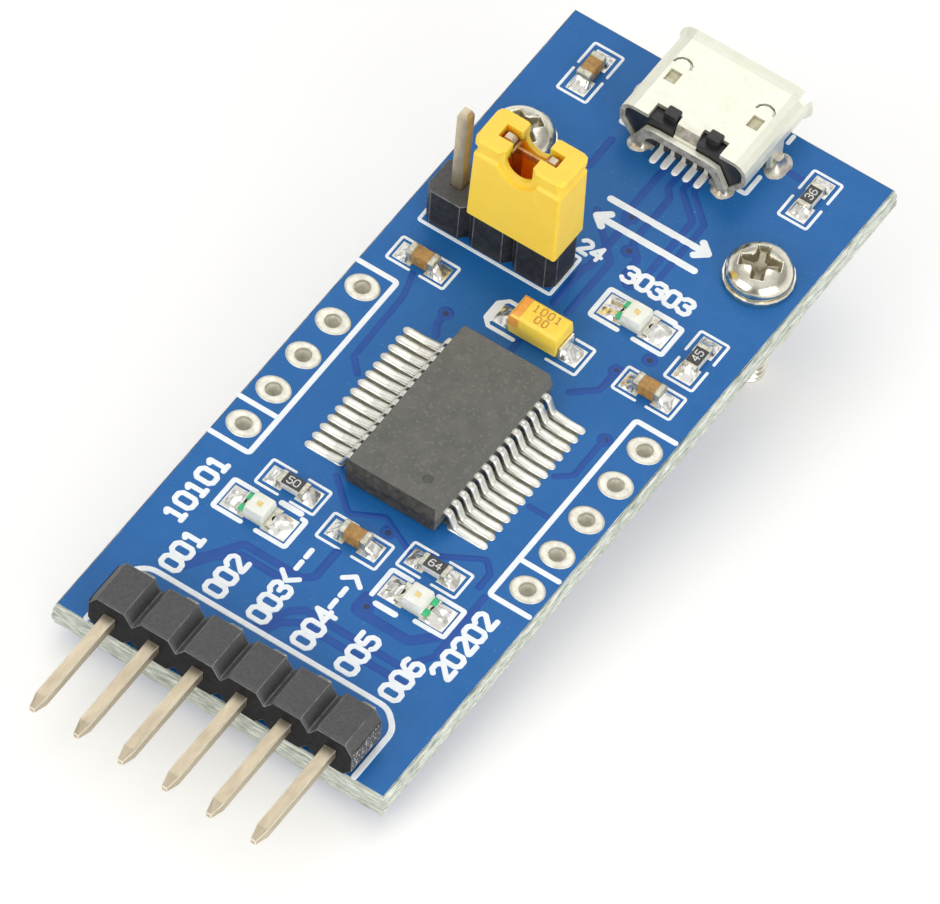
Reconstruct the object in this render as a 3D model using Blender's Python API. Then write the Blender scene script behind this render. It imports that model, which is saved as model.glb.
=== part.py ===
"""USB to serial adapter module: a small circuit board with a micro USB socket, an interface chip, a voltage
selector with its pull-off jumper cap, a six pin right-angle header, indicator lights and two fixing screws.

The origin is the middle of the board's underside. +X is to the right, +Y is towards the USB socket and +Z is
up through the side that carries the parts. Lengths are in metres, and MM turns the drawing's millimetres into
them.
"""

import math

import bmesh
import bpy
from mathutils import Vector

MM = 0.001

# Spacing and section that both pin headers share
pitch = 2.54 * MM
pin_width = 0.64 * MM
pin_tip_width = 0.3 * MM
pin_tip_length = 0.8 * MM
pin_tail = 1.4 * MM

# Clearances
seat = 0.03 * MM
press = 0.03 * MM
running = 0.05 * MM

# Circuit board, with the V-shaped score that it was snapped out of its panel along
board_width = 18.8 * MM
board_length = 44.5 * MM
board_thickness = 1.6 * MM
score_depth = 0.4 * MM
score_lean = 0.1 * MM
bare_middle_width = 11.0 * MM
bare_middle_length = 14.0 * MM

# Rows of plated holes along both sides
side_holes = 5
side_hole = 0.9 * MM
side_hole_inset = 1.145 * MM
side_row_middle = -0.0727 * board_length
side_slot_room = 0.4 * MM

# Right-angle header
header_pins = 6
pin_hole = 1.02 * MM
block_height = 2.5 * MM
header_chamfer = 0.28 * MM
selector_chamfer = 0.42 * MM
header_length = 2.54 * MM
header_leg_inset = 3.05 * MM
header_leg_reach = 0.62 * MM
header_pin_reach = 6.4 * MM
header_bend = 0.42 * MM

# Voltage selector header
selector_pins = 3
selector_x = -0.2404 * board_width
selector_y = 0.1861 * board_length
selector_depth = 2.5 * MM
selector_pin_reach = 5.8 * MM

# Jumper cap
cap_height = 5.95 * MM
cap_depth = 2.6 * MM
cap_end_wall = 0.75 * MM
cap_taper = 0.06 * MM
cap_edge = 0.12 * MM
cap_ear_height = 0.55 * MM
cap_ear_lip = 0.07 * MM
cap_ear_round = 0.34 * MM
cap_groove_height = 0.7 * MM
cap_groove_depth = 0.15 * MM
cap_roof = 0.6 * MM
cap_notch_radius = 0.8 * MM
cap_notch_depth = 1.6 * MM
cap_side_wall = 0.5 * MM
cap_rim = 0.42 * MM
cap_hole_room = 0.1 * MM

# Spring contact inside the cap
contact_sheet = 0.15 * MM
contact_bar_height = 0.42 * MM
contact_length = 4.2 * MM
contact_leaf_reach = 0.45 * MM

# USB socket shell
socket_x = 0.15 * MM
socket_overhang = 0.65 * MM
socket_depth = 5.7 * MM
socket_width = 7.4 * MM
socket_floor_width = 5.5 * MM
socket_height = 2.6 * MM
socket_shoulder = 1.25 * MM
socket_floor_round = 0.4 * MM
socket_shoulder_round = 0.45 * MM
socket_roof_round = 0.75 * MM
socket_sheet = 0.25 * MM
socket_lip = 0.22 * MM
socket_lip_depth = 0.5 * MM
rear_notch_width = 1.45 * MM
rear_notch_depth = 0.9 * MM
rear_tab_width = 1.3 * MM
rear_tab_setback = 0.55 * MM
rear_arch_shoulder = 0.8 * MM
rear_arch_height = 1.3 * MM
rear_arch_band = 0.5 * MM
rear_arch_haunch = 0.4 * MM
rear_overlap = 0.06 * MM
rear_leg_width = 0.6 * MM
rear_leg_spread = 4.9 * MM
latch_spread = 4.85 * MM
latch_width = 0.65 * MM
latch_length = 0.8 * MM
latch_setback = 2.2 * MM
latch_arc_radius = 0.5 * MM
latch_arc_slit = 0.14 * MM
lead_gap_margin = 0.05 * MM
lead_gap_depth = 1.1 * MM
side_leg_length = 1.1 * MM
side_leg_setback = 2.75 * MM
side_leg_tail = 0.5 * MM

# USB socket insides
insulator_depth = 1.7 * MM
tongue_width = 3.7 * MM
tongue_thickness = 0.6 * MM
tongue_underside = 1.08 * MM
tongue_length = 2.5 * MM
usb_contacts = 5
usb_contact_pitch = 0.65 * MM
usb_contact_width = 0.3 * MM
usb_contact_sheet = 0.14 * MM
usb_foot_reach = 0.55 * MM
usb_contact_setback = 0.3 * MM
usb_contact_drop = 0.3 * MM

# Interface chip
chip_x = 0.0106 * board_width
chip_y = -0.0724 * board_length
chip_width = 5.3 * MM
chip_length = 10.2 * MM
chip_height = 1.85 * MM
chip_standoff = 0.1 * MM
chip_draft = 0.14 * MM
chip_parting = 1.06 * MM
chip_dot = 0.7 * MM
chip_dot_inset = 1.15 * MM
chip_dot_end_inset = 1.35 * MM
chip_dot_depth = 0.06 * MM
chip_leads_a_side = 14
chip_lead_pitch = 0.65 * MM
chip_lead_width = 0.3 * MM
chip_lead_sheet = 0.16 * MM
chip_lead_span = 7.8 * MM
chip_lead_shoulder = 0.35 * MM
chip_foot = 0.7 * MM

# Tantalum capacitor
tantalum_x = 0.017 * board_width
tantalum_y = 0.1016 * board_length
tantalum_length = 3.2 * MM
tantalum_width = 1.6 * MM
tantalum_height = 1.6 * MM
tantalum_draft = 0.14 * MM
tantalum_sheet = 0.12 * MM
tantalum_tab_width = 1.2 * MM
tantalum_tab_reach = 0.8 * MM

# Ceramic capacitors and resistors of one size
chip_part_length = 1.6 * MM
chip_part_width = 0.8 * MM
chip_part_end = 0.32 * MM
capacitor_height = 0.8 * MM
resistor_height = 0.45 * MM
coating = 0.02 * MM

# Indicator lights
led_length = 2.0 * MM
led_width = 1.25 * MM
led_base = 0.3 * MM
led_end = 0.35 * MM
led_lens_height = 0.5 * MM
led_lens_draft = 0.08 * MM

# Fixing screws, washers and nuts
screw_edge_inset = 2.4 * MM
screw_end_inset = 0.19 * board_length
screw_diameter = 2.0 * MM
screw_length = 8.0 * MM
screw_hole = 2.2 * MM
screw_head = 3.5 * MM
screw_head_height = 1.1 * MM
recess_width = 1.8 * MM
recess_slot = 0.48 * MM
recess_depth = 0.85 * MM
screw_point = 0.3 * MM
screw_point_width = 1.6 * MM
washer_diameter = 3.7 * MM
washer_thickness = 0.35 * MM
nut_across_flats = 4.0 * MM
nut_height = 1.6 * MM

# Profile of the pan head from its seat up, and of the recess from its floor up, as shares of their sizes
pan_profile = ((0.98, 0.0), (1.0, 0.1), (0.94, 0.33), (0.82, 0.6), (0.64, 0.83), (0.4, 0.96), (0.15, 1.0))
recess_profile = ((0.55, 0.7, 0.0), (1.1, 1.0, 1.25))

# Places of the small parts, as shares of the board's width and length from its middle, and whether a part's
# length runs along Y
capacitor_places = (
    (-0.3577, 0.1081, False),
    (0.3462, 0.1087, False),
    (-0.0006, -0.2436, False),
    (-0.3512, 0.4358, True),
)
resistor_places = (
    (0.3414, 0.4342, True),
    (0.3896, 0.1756, True),
    (-0.2224, -0.2248, False),
    (0.2144, -0.2245, False),
)
led_places = (
    (0.1933, 0.181),
    (-0.246, -0.2749),
    (0.2379, -0.2724),
)

# Places that follow from the sizes above
board_top = board_thickness
on_board = board_top + seat
header_leg_y = header_leg_inset - board_length / 2
header_block_back = header_leg_y - header_leg_reach
header_block_front = header_block_back - header_length
header_pin_z = on_board + block_height / 2
selector_top = on_board + block_height
socket_front = board_length / 2 + socket_overhang
socket_back = socket_front - socket_depth
socket_floor = on_board
cap_x = selector_x + pitch / 2
cap_bottom = selector_top + seat
screw_x = board_width / 2 - screw_edge_inset
screw_y = board_length / 2 - screw_end_inset
washer_bottom = on_board
head_bottom = washer_bottom + washer_thickness + seat


# Shared shapes: outlines are lists of (u, v) points, counterclockwise, drawn across an axis


def circle(diameter, steps=16, middle=(0.0, 0.0)):
    """A round outline."""
    turns = [2 * math.pi * (i + 0.5) / steps for i in range(steps)]
    radius = diameter / 2
    return [(middle[0] + radius * math.cos(a), middle[1] + radius * math.sin(a)) for a in turns]


def rectangle(width, depth, middle=(0.0, 0.0)):
    """A square-cornered outline."""
    corners = ((-1, -1), (1, -1), (1, 1), (-1, 1))
    return [(middle[0] + i * width / 2, middle[1] + j * depth / 2) for i, j in corners]


def rounded(corners, grow=0.0, steps=3):
    """An outline through corners given as (u, v, radius), each turned by an arc. grow moves it outwards."""
    points = []
    for i, (u, v, radius) in enumerate(corners):
        here = Vector((u, v))
        before = (here - Vector(corners[i - 1][:2])).normalized()
        after = (Vector(corners[(i + 1) % len(corners)][:2]) - here).normalized()
        normal_before = Vector((before.y, -before.x))
        normal_after = Vector((after.y, -after.x))
        mitre = (normal_before + normal_after) / (1 + normal_before.dot(normal_after))
        centre = here - mitre * radius
        for step in range(steps + 1):
            normal = normal_before.slerp(normal_after, step / steps)
            points.append(tuple(centre + normal * (radius + grow)))
    return points


def rounded_rectangle(width, depth, radius, steps=3):
    """A rectangle with arcs at its corners."""
    return rounded([(u, v, radius) for u, v in rectangle(width, depth)], 0.0, steps)


def bent(corners, radius, steps=3):
    """A path through corners, with each inner corner turned by an arc."""
    path = [Vector(corners[0])]
    for first, middle, last in zip(corners, corners[1:], corners[2:]):
        here = Vector(middle)
        before = (here - Vector(first)).normalized()
        after = (Vector(last) - here).normalized()
        half_turn = before.angle(after) / 2
        centre = here + (after - before).normalized() * radius / math.cos(half_turn)
        start = (here - before * radius * math.tan(half_turn) - centre).normalized()
        end = (here + after * radius * math.tan(half_turn) - centre).normalized()
        path += [centre + start.slerp(end, step / steps) * radius for step in range(steps + 1)]
    path.append(Vector(corners[-1]))
    return path


def sheet_edge(path, thickness):
    """The outline of bent sheet seen on its edge: its path moved half a thickness to either side."""
    sides = []
    for i, here in enumerate(path):
        before = (here - path[i - 1]).normalized() if i else (path[1] - here).normalized()
        after = (path[i + 1] - here).normalized() if i + 1 < len(path) else before
        normals = Vector((before.y, -before.x)), Vector((after.y, -after.x))
        sides.append((normals[0] + normals[1]) / (1 + normals[0].dot(normals[1])) * thickness / 2)
    right = [tuple(here + side) for here, side in zip(path, sides)]
    left = [tuple(here - side) for here, side in zip(path, sides)]
    return right + left[::-1]


def across(axis, point, along):
    """The place in space of an outline's point, drawn across an axis at some way along it."""
    u, v = point
    return {"X": (along, u, v), "Y": (u, along, v), "Z": (u, v, along)}[axis]


def loft(shape, sections, axis="Z", closed=False):
    """A solid through sections, (way along the axis, outline) each. A closed one is a ring with no ends."""
    rows = []
    for along, outline in sections:
        rows.append([shape.verts.new(across(axis, point, along)) for point in outline])
    pairs = list(zip(rows, rows[1:]))
    if closed:
        pairs.append((rows[-1], rows[0]))
    else:
        shape.faces.new(rows[0])
        shape.faces.new(rows[-1])
    for low, high in pairs:
        for i in range(len(low)):
            shape.faces.new((low[i - 1], low[i], high[i], high[i - 1]))
    return shape


def prism(shape, outline, low, high, axis="Z"):
    """An outline carried straight along an axis."""
    return loft(shape, [(low, outline), (high, outline)], axis)


def turned(shape, profile, steps=20, closed=False):
    """A lathe-turned solid from (diameter, height) pairs."""
    return loft(shape, [(height, circle(diameter, steps)) for diameter, height in profile], "Z", closed)


# Materials and objects


def material(name, colour, roughness, metallic=0.0):
    """A plain finish."""
    made = bpy.data.materials.new(name)
    made.use_nodes = True
    made.diffuse_color = (*colour, 1.0)
    surface = made.node_tree.nodes["Principled BSDF"]
    surface.inputs["Base Color"].default_value = (*colour, 1.0)
    surface.inputs["Roughness"].default_value = roughness
    surface.inputs["Metallic"].default_value = metallic
    return made


def piece(name, shape, finishes, location=(0.0, 0.0, 0.0), quarter_turn=False):
    """One object from a shape. quarter_turn sets a part that was drawn along X along Y."""
    bmesh.ops.recalc_face_normals(shape, faces=shape.faces)
    mesh = bpy.data.meshes.new(name)
    shape.to_mesh(mesh)
    shape.free()
    for finish in finishes:
        mesh.materials.append(finish)
    made = bpy.data.objects.new(name, mesh)
    made.location = location
    made.rotation_euler.z = math.radians(90) if quarter_turn else 0.0
    bpy.context.scene.collection.objects.link(made)
    return made


def helper(name, shape, location=(0.0, 0.0, 0.0)):
    """A solid that only cuts or joins another piece. It shows as wire and isn't part of the module."""
    made = piece(name, shape, (), location)
    made.hide_render = True
    made.display_type = "WIRE"
    return made


def combine(target, other, operation):
    """Cuts, joins or trims a piece with a helper."""
    step = target.modifiers.new(operation.capitalize(), "BOOLEAN")
    step.operation = operation
    step.solver = "EXACT"
    step.object = other


def settle(objects):
    """Applies each piece's cuts and joins, removes the helpers and shades round faces smooth."""
    graph = bpy.context.evaluated_depsgraph_get()
    kept = [made for made in objects if not made.hide_render]
    meshes = [bpy.data.meshes.new_from_object(made.evaluated_get(graph)) for made in kept]
    for made, mesh in zip(kept, meshes):
        made.modifiers.clear()
        made.data = mesh
        mesh.name = made.name
        mesh.shade_smooth()
        mesh.set_sharp_from_angle(angle=math.radians(32))
    for made in [made for made in objects if made.hide_render]:
        bpy.data.objects.remove(made, do_unlink=True)


for old in list(bpy.data.objects):
    bpy.data.objects.remove(old, do_unlink=True)

board_blue = material("board_blue", (0.042, 0.165, 0.457), 0.35)
black_plastic = material("black_plastic", (0.02, 0.02, 0.022), 0.55)
pin_gold = material("pin_gold", (0.63, 0.55, 0.38), 0.3, 1.0)
cap_yellow = material("cap_yellow", (0.95, 0.62, 0.04), 0.4)
spring_bronze = material("spring_bronze", (0.42, 0.24, 0.1), 0.35, 1.0)
plated_steel = material("plated_steel", (0.75, 0.74, 0.66), 0.28, 1.0)
tin = material("tin", (0.72, 0.72, 0.7), 0.3, 1.0)
chip_resin = material("chip_resin", (0.03, 0.03, 0.033), 0.6)
tantalum_yellow = material("tantalum_yellow", (0.85, 0.45, 0.06), 0.5)
ceramic_brown = material("ceramic_brown", (0.3, 0.15, 0.06), 0.5)
resistor_black = material("resistor_black", (0.015, 0.015, 0.017), 0.4)
led_board = material("led_board", (0.75, 0.76, 0.62), 0.5)
led_resin = material("led_resin", (0.85, 0.87, 0.78), 0.25)
nickel = material("nickel", (0.7, 0.67, 0.56), 0.25, 1.0)


# Circuit board: fibreglass plate with every hole that a pin, leg or screw goes through. The bare middle of
# its underside, where a pad can hold it, is a face of its own.

board_shape = bmesh.new()
board_face = rectangle(board_width, board_length)
bare_middle = rectangle(bare_middle_width, bare_middle_length)
board_middle = rectangle(board_width + 2 * score_lean, board_length + 2 * score_lean)
board_sections = (
    (0.0, bare_middle),
    (0.0, board_face),
    (score_depth, board_middle),
    (board_thickness - score_depth, board_middle),
    (board_thickness, board_face),
)
loft(board_shape, board_sections)
circuit_board = piece("circuit_board", board_shape, [board_blue])

side_hole_x = board_width / 2 - side_hole_inset
side_hole_ys = [side_row_middle + (i - (side_holes - 1) / 2) * pitch for i in range(side_holes)]
header_pin_xs = [(i - (header_pins - 1) / 2) * pitch for i in range(header_pins)]
selector_pin_xs = [selector_x + (i - (selector_pins - 1) / 2) * pitch for i in range(selector_pins)]
side_leg_x = socket_width / 2 - socket_sheet / 2
side_leg_y = socket_front - side_leg_setback
side_slot = (socket_sheet + side_slot_room, side_leg_length + side_slot_room)

through = (-board_thickness, 2 * board_thickness)
hole_shape = bmesh.new()
for side in (-1, 1):
    for y in side_hole_ys:
        prism(hole_shape, circle(side_hole, 16, (side * side_hole_x, y)), *through)
    prism(hole_shape, circle(screw_hole, 20, (side * screw_x, screw_y)), *through)
    prism(hole_shape, rectangle(*side_slot, (socket_x + side * side_leg_x, side_leg_y)), *through)
for x in header_pin_xs:
    prism(hole_shape, circle(pin_hole, 12, (x, header_leg_y)), *through)
for x in selector_pin_xs:
    prism(hole_shape, circle(pin_hole, 12, (x, selector_y)), *through)
combine(circuit_board, helper("board_holes", hole_shape), "DIFFERENCE")


# Pin headers: a strip of blocks with cut corners, moulded in one, and square pins pressed through it


def strip_outline(count, depth, chamfer):
    """End view of the strip: blocks one pitch wide with their corners cut, where the strip snaps."""
    side = []
    for i in range(count):
        left = (i - count / 2) * pitch
        side.append((left, chamfer - depth / 2))
        side.append((left + chamfer, -depth / 2))
        side.append((left + pitch - chamfer, -depth / 2))
    side.append((count * pitch / 2, chamfer - depth / 2))
    return side + [(-u, -v) for u, v in side]


def pin_bores(count, low, high, axis):
    """The square bores of a strip, as one cutting shape."""
    shape = bmesh.new()
    for i in range(count):
        middle = ((i - (count - 1) / 2) * pitch, 0.0)
        prism(shape, rectangle(pin_width + 2 * press, pin_width + 2 * press, middle), low, high, axis)
    return shape


header_outline = strip_outline(header_pins, block_height, header_chamfer)
header_shape = prism(bmesh.new(), header_outline, 0.0, header_length, "Y")
header_place = (0.0, header_block_front, header_pin_z)
header_block = piece("header_block", header_shape, [black_plastic], header_place)
header_bores = pin_bores(header_pins, -header_length, 2 * header_length, "Y")
combine(header_block, helper("header_bores", header_bores, header_place), "DIFFERENCE")

selector_outline = strip_outline(selector_pins, selector_depth, selector_chamfer)
selector_shape = prism(bmesh.new(), selector_outline, 0.0, block_height)
selector_place = (selector_x, selector_y, on_board)
selector_block = piece("selector_block", selector_shape, [black_plastic], selector_place)
selector_bores = pin_bores(selector_pins, -block_height, 2 * block_height, "Z")
combine(selector_block, helper("selector_bores", selector_bores, selector_place), "DIFFERENCE")


def square_section(middle, direction, width):
    """The corners of a pin's square section at a point of its path, which lies in the YZ plane."""
    half = width / 2
    normal = Vector((-direction.y, direction.x))
    corners = ((-half, -1), (half, -1), (half, 1), (-half, 1))
    return [(x, *(middle + normal * half * side)) for x, side in corners]


def square_pin(path):
    """A square pin along a path of (y, z) points, with both of its ends drawn to a blunt point."""
    first = (path[1] - path[0]).normalized()
    last = (path[-1] - path[-2]).normalized()
    stations = [(path[0], first, pin_tip_width), (path[0] + first * pin_tip_length, first, pin_width)]
    for before, here, after in zip(path, path[1:], path[2:]):
        turn = ((here - before).normalized() + (after - here).normalized()).normalized()
        stations.append((here, turn, pin_width))
    stations.append((path[-1] - last * pin_tip_length, last, pin_width))
    stations.append((path[-1], last, pin_tip_width))
    shape = bmesh.new()
    rows = [[shape.verts.new(corner) for corner in square_section(*station)] for station in stations]
    shape.faces.new(rows[0])
    shape.faces.new(rows[-1])
    for low, high in zip(rows, rows[1:]):
        for i in range(4):
            shape.faces.new((low[i - 1], low[i], high[i], high[i - 1]))
    return shape


header_path = bent(
    [
        (header_block_front - header_pin_reach, header_pin_z),
        (header_leg_y, header_pin_z),
        (header_leg_y, -pin_tail),
    ],
    header_bend,
)
for i, x in enumerate(header_pin_xs):
    piece(f"header_pin_{i + 1}", square_pin(header_path), [pin_gold], (x, 0.0, 0.0))

selector_tip = selector_top + selector_pin_reach
selector_path = [Vector((selector_y, selector_tip)), Vector((selector_y, -pin_tail))]
for i, x in enumerate(selector_pin_xs):
    piece(f"selector_pin_{i + 1}", square_pin(selector_path), [pin_gold], (x, 0.0, 0.0))


# Jumper cap: a moulded shell with two ears, a groove below them and a round-bottomed notch between them.
# Its bronze contact grips two neighbouring pins and links them with a bar that shows in the notch.

leaf_inner = pin_width / 2 + running
leaf_outer = leaf_inner + contact_sheet
cell_reach = leaf_outer + running
cap_width = pitch + 2 * cell_reach + 2 * cap_end_wall
ear_bottom = cap_height - cap_ear_height
groove_bottom = ear_bottom - cap_groove_height
cell_roof = cap_height - cap_roof
notch_floor = cap_height - cap_notch_depth


def cap_section(height, inset, lip=0.0, corner=cap_edge):
    """Level section of the cap at some height, moved in from its sides. The ears stand out by a lip."""
    return height, rounded_rectangle(cap_width + 2 * (lip - inset), cap_depth - 2 * inset, corner, 2)


cap_shape = bmesh.new()
cap_sections = [
    cap_section(0.0, 0.0),
    cap_section(groove_bottom, cap_taper),
    cap_section(groove_bottom + cap_groove_depth, cap_groove_depth + cap_taper),
    cap_section(ear_bottom - cap_groove_depth / 2, cap_groove_depth + cap_taper),
    cap_section(ear_bottom, cap_taper, cap_ear_lip, cap_ear_round),
    cap_section(cap_height - cap_ear_round / 2, cap_taper, cap_ear_lip, cap_ear_round),
    cap_section(cap_height, cap_ear_round / 2, cap_ear_lip, cap_ear_round),
]
loft(cap_shape, cap_sections)
cap_place = (cap_x, selector_y, cap_bottom)
jumper_cap = piece("jumper_cap", cap_shape, [cap_yellow], cap_place)

rim_shape = bmesh.new()
rim_middle = (0.0, notch_floor + cap_notch_radius)
rim_outline = circle(2 * (cap_notch_radius + cap_rim), 20, rim_middle)
for side in (-1, 1):
    face = side * (cap_depth / 2 - cap_taper - cap_groove_depth)
    prism(rim_shape, rim_outline, face, side * cap_depth, "Y")
combine(jumper_cap, helper("cap_rims", rim_shape, cap_place), "DIFFERENCE")

notch_outline = [(cap_notch_radius, 2 * cap_height), (-cap_notch_radius, 2 * cap_height)]
for i in range(13):
    turn = math.pi * (1 + i / 12)
    u = cap_notch_radius * math.cos(turn)
    v = rim_middle[1] + cap_notch_radius * math.sin(turn)
    notch_outline.append((u, v))
notch_shape = prism(bmesh.new(), notch_outline, -cap_depth, cap_depth, "Y")
combine(jumper_cap, helper("cap_notch", notch_shape, cap_place), "DIFFERENCE")

cell_shape = bmesh.new()
for side in (-1, 1):
    cell = rectangle(2 * cell_reach, 2 * cell_reach, (side * pitch / 2, 0.0))
    prism(cell_shape, cell, -cap_height, cell_roof)
combine(jumper_cap, helper("cap_cells", cell_shape, cap_place), "DIFFERENCE")
hollow = rectangle(pitch, cap_depth - 2 * cap_side_wall)
hollow_shape = prism(bmesh.new(), hollow, -2 * cap_height, rim_middle[1])
combine(jumper_cap, helper("cap_hollow", hollow_shape, cap_place), "DIFFERENCE")

ear_hole = pin_width + 2 * cap_hole_room
ear_hole_shape = prism(bmesh.new(), rectangle(pitch + ear_hole, ear_hole), rim_middle[1], 2 * cap_height)
combine(jumper_cap, helper("cap_ear_holes", ear_hole_shape, cap_place), "DIFFERENCE")

contact_top = cell_roof - running
contact_shape = bmesh.new()
for side in (-1, 1):
    near = side * (pitch / 2 - leaf_outer)
    web = side * (pitch / 2 - leaf_inner)
    far = side * (pitch / 2 + contact_leaf_reach)
    fork = [
        (near, -leaf_outer),
        (far, -leaf_outer),
        (far, -leaf_inner),
        (web, -leaf_inner),
        (web, leaf_inner),
        (far, leaf_inner),
        (far, leaf_outer),
        (near, leaf_outer),
    ]
    prism(contact_shape, fork, contact_top - contact_length, contact_top)
contact_forks = helper("contact_forks", contact_shape, cap_place)
bar_outline = rectangle(pitch - leaf_inner - leaf_outer, contact_sheet)
bar_bottom = contact_top - contact_bar_height
bar_shape = prism(bmesh.new(), bar_outline, bar_bottom, contact_top - seat)
jumper_contact = piece("jumper_contact", bar_shape, [spring_bronze], cap_place)
combine(jumper_contact, contact_forks, "UNION")


# USB socket shell: one sheet folded into a tube that is narrower below, with a flared mouth, two latch
# tongues, two side legs through the board and a rear wall that hangs from the roof on a tab

socket_place = (socket_x, 0.0, socket_floor)


def socket_outline(grow):
    """Section of the tube, its outside moved by grow."""
    corners = (
        (-socket_floor_width / 2, 0.0, socket_floor_round),
        (socket_floor_width / 2, 0.0, socket_floor_round),
        (socket_width / 2, socket_shoulder, socket_shoulder_round),
        (socket_width / 2, socket_height, socket_roof_round),
        (-socket_width / 2, socket_height, socket_roof_round),
        (-socket_width / 2, socket_shoulder, socket_shoulder_round),
    )
    return rounded(corners, grow, 3)


shell_stations = (
    (socket_back, 0.0),
    (socket_front - socket_lip_depth, 0.0),
    (socket_front - socket_lip_depth / 2, socket_lip / 3),
    (socket_front, socket_lip),
)
shell_sections = [(y, socket_outline(grow)) for y, grow in shell_stations]
shell_sections += [(y, socket_outline(grow - socket_sheet)) for y, grow in reversed(shell_stations)]
shell_shape = loft(bmesh.new(), shell_sections, "Y", closed=True)
usb_shell = piece("usb_shell", shell_shape, [plated_steel], socket_place)

opening_shape = bmesh.new()
inside_roof = socket_height - 2 * socket_sheet
rear_notch = rectangle(rear_tab_width + 2 * rear_notch_width, 2 * rear_notch_depth, (0.0, socket_back))
prism(opening_shape, rear_notch, inside_roof, 2 * socket_height)
for side in (-1, 1):
    latch_y = socket_front - latch_setback
    latch_hole = rectangle(latch_width, latch_length, (side * latch_spread / 2, latch_y - latch_length))
    prism(opening_shape, latch_hole, inside_roof, 2 * socket_height)
    arc = []
    for i in range(7):
        turn = math.pi * i / 6
        reach = Vector((math.cos(turn), math.sin(turn))) * latch_arc_radius
        arc.append(Vector((side * latch_spread / 2, latch_y)) + reach)
    prism(opening_shape, sheet_edge(arc, latch_arc_slit), inside_roof, 2 * socket_height)
lead_gap_width = usb_contacts * usb_contact_pitch + 2 * lead_gap_margin
lead_gap = rectangle(lead_gap_width, 2 * lead_gap_depth, (0.0, socket_back))
prism(opening_shape, lead_gap, -socket_height, 2 * socket_sheet)
combine(usb_shell, helper("shell_openings", opening_shape, socket_place), "DIFFERENCE")

leg_outer = (rear_leg_spread + rear_leg_width) / 2
leg_inner = (rear_leg_spread - rear_leg_width) / 2
arch_top = rear_arch_height + rear_arch_band
arch_half = [
    (leg_outer, 0.0),
    (leg_outer, rear_arch_height - 2 * rear_arch_haunch),
    (leg_inner, rear_arch_height + rear_arch_haunch),
    (rear_tab_width / 2 + rear_arch_shoulder, arch_top),
]
arch_underside = [
    (leg_inner, 0.0),
    (leg_inner, rear_arch_height / 2),
    (leg_inner - rear_leg_width / 2, rear_arch_height * 0.85),
    (leg_inner - rear_leg_width, rear_arch_height),
]
rear_outline = arch_half + [(-u, v) for u, v in reversed(arch_half)]
rear_outline += [(-u, v) for u, v in arch_underside] + list(reversed(arch_underside))
rear_shape = prism(bmesh.new(), rear_outline, socket_back - socket_sheet, socket_back + rear_overlap, "Y")
combine(usb_shell, helper("shell_rear_wall", rear_shape, socket_place), "UNION")

tab_y = socket_back + rear_tab_setback
roof_middle = socket_height - socket_sheet / 2
tab_path = bent(
    [
        (socket_back + rear_notch_depth + rear_overlap, roof_middle),
        (tab_y, roof_middle),
        (tab_y - rear_tab_setback / 3, arch_top),
        (socket_back - socket_sheet / 2, arch_top - rear_arch_band),
    ],
    socket_sheet,
)
tab_edge = sheet_edge(tab_path, socket_sheet)
tab_shape = prism(bmesh.new(), tab_edge, -rear_tab_width / 2, rear_tab_width / 2, "X")
combine(usb_shell, helper("shell_rear_tab", tab_shape, socket_place), "UNION")

side_leg_shape = bmesh.new()
side_leg_bottom = -board_thickness - seat - side_leg_tail
for side in (-1, 1):
    side_leg = rectangle(socket_sheet, side_leg_length, (side * side_leg_x, side_leg_y))
    prism(side_leg_shape, side_leg, side_leg_bottom, socket_shoulder + socket_sheet)
combine(usb_shell, helper("shell_side_legs", side_leg_shape, socket_place), "UNION")


# USB socket insides: a moulded block with a tongue, and five contacts that run below it to the board

insulator_back = socket_back + rear_overlap + 2 * seat
insulator_front = insulator_back + insulator_depth
tongue_front = insulator_front + tongue_length
contact_level = tongue_underside - seat - usb_contact_sheet / 2
groove_roof = tongue_underside + 2 * seat
usb_contact_xs = [(i - (usb_contacts - 1) / 2) * usb_contact_pitch for i in range(usb_contacts)]

insulator_shape = bmesh.new()
insulator_outline = socket_outline(-socket_sheet - running)
prism(insulator_shape, insulator_outline, insulator_back, insulator_front, "Y")
usb_insulator = piece("usb_insulator", insulator_shape, [black_plastic], socket_place)
tongue_middle = (0.0, tongue_underside + tongue_thickness / 2)
tongue_outline = rectangle(tongue_width, tongue_thickness, tongue_middle)
tongue_shape = prism(bmesh.new(), tongue_outline, insulator_front - insulator_depth / 4, tongue_front, "Y")
combine(usb_insulator, helper("insulator_tongue", tongue_shape, socket_place), "UNION")
groove_shape = bmesh.new()
for x in usb_contact_xs:
    groove_width = usb_contact_width + 2 * running
    groove = rectangle(groove_width, 2 * groove_roof, (x, 0.0))
    prism(groove_shape, groove, insulator_back - insulator_depth, insulator_front + seat, "Y")
combine(usb_insulator, helper("insulator_grooves", groove_shape, socket_place), "DIFFERENCE")
tab_recess_width = rear_tab_width + 2 * running
tab_recess_reach = 2 * (rear_tab_setback + socket_sheet)
tab_recess = rectangle(tab_recess_width, tab_recess_reach, (0.0, socket_back))
tab_recess_shape = prism(bmesh.new(), tab_recess, rear_arch_height - socket_sheet, 2 * socket_height)
combine(usb_insulator, helper("insulator_tab_recess", tab_recess_shape, socket_place), "DIFFERENCE")

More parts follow.
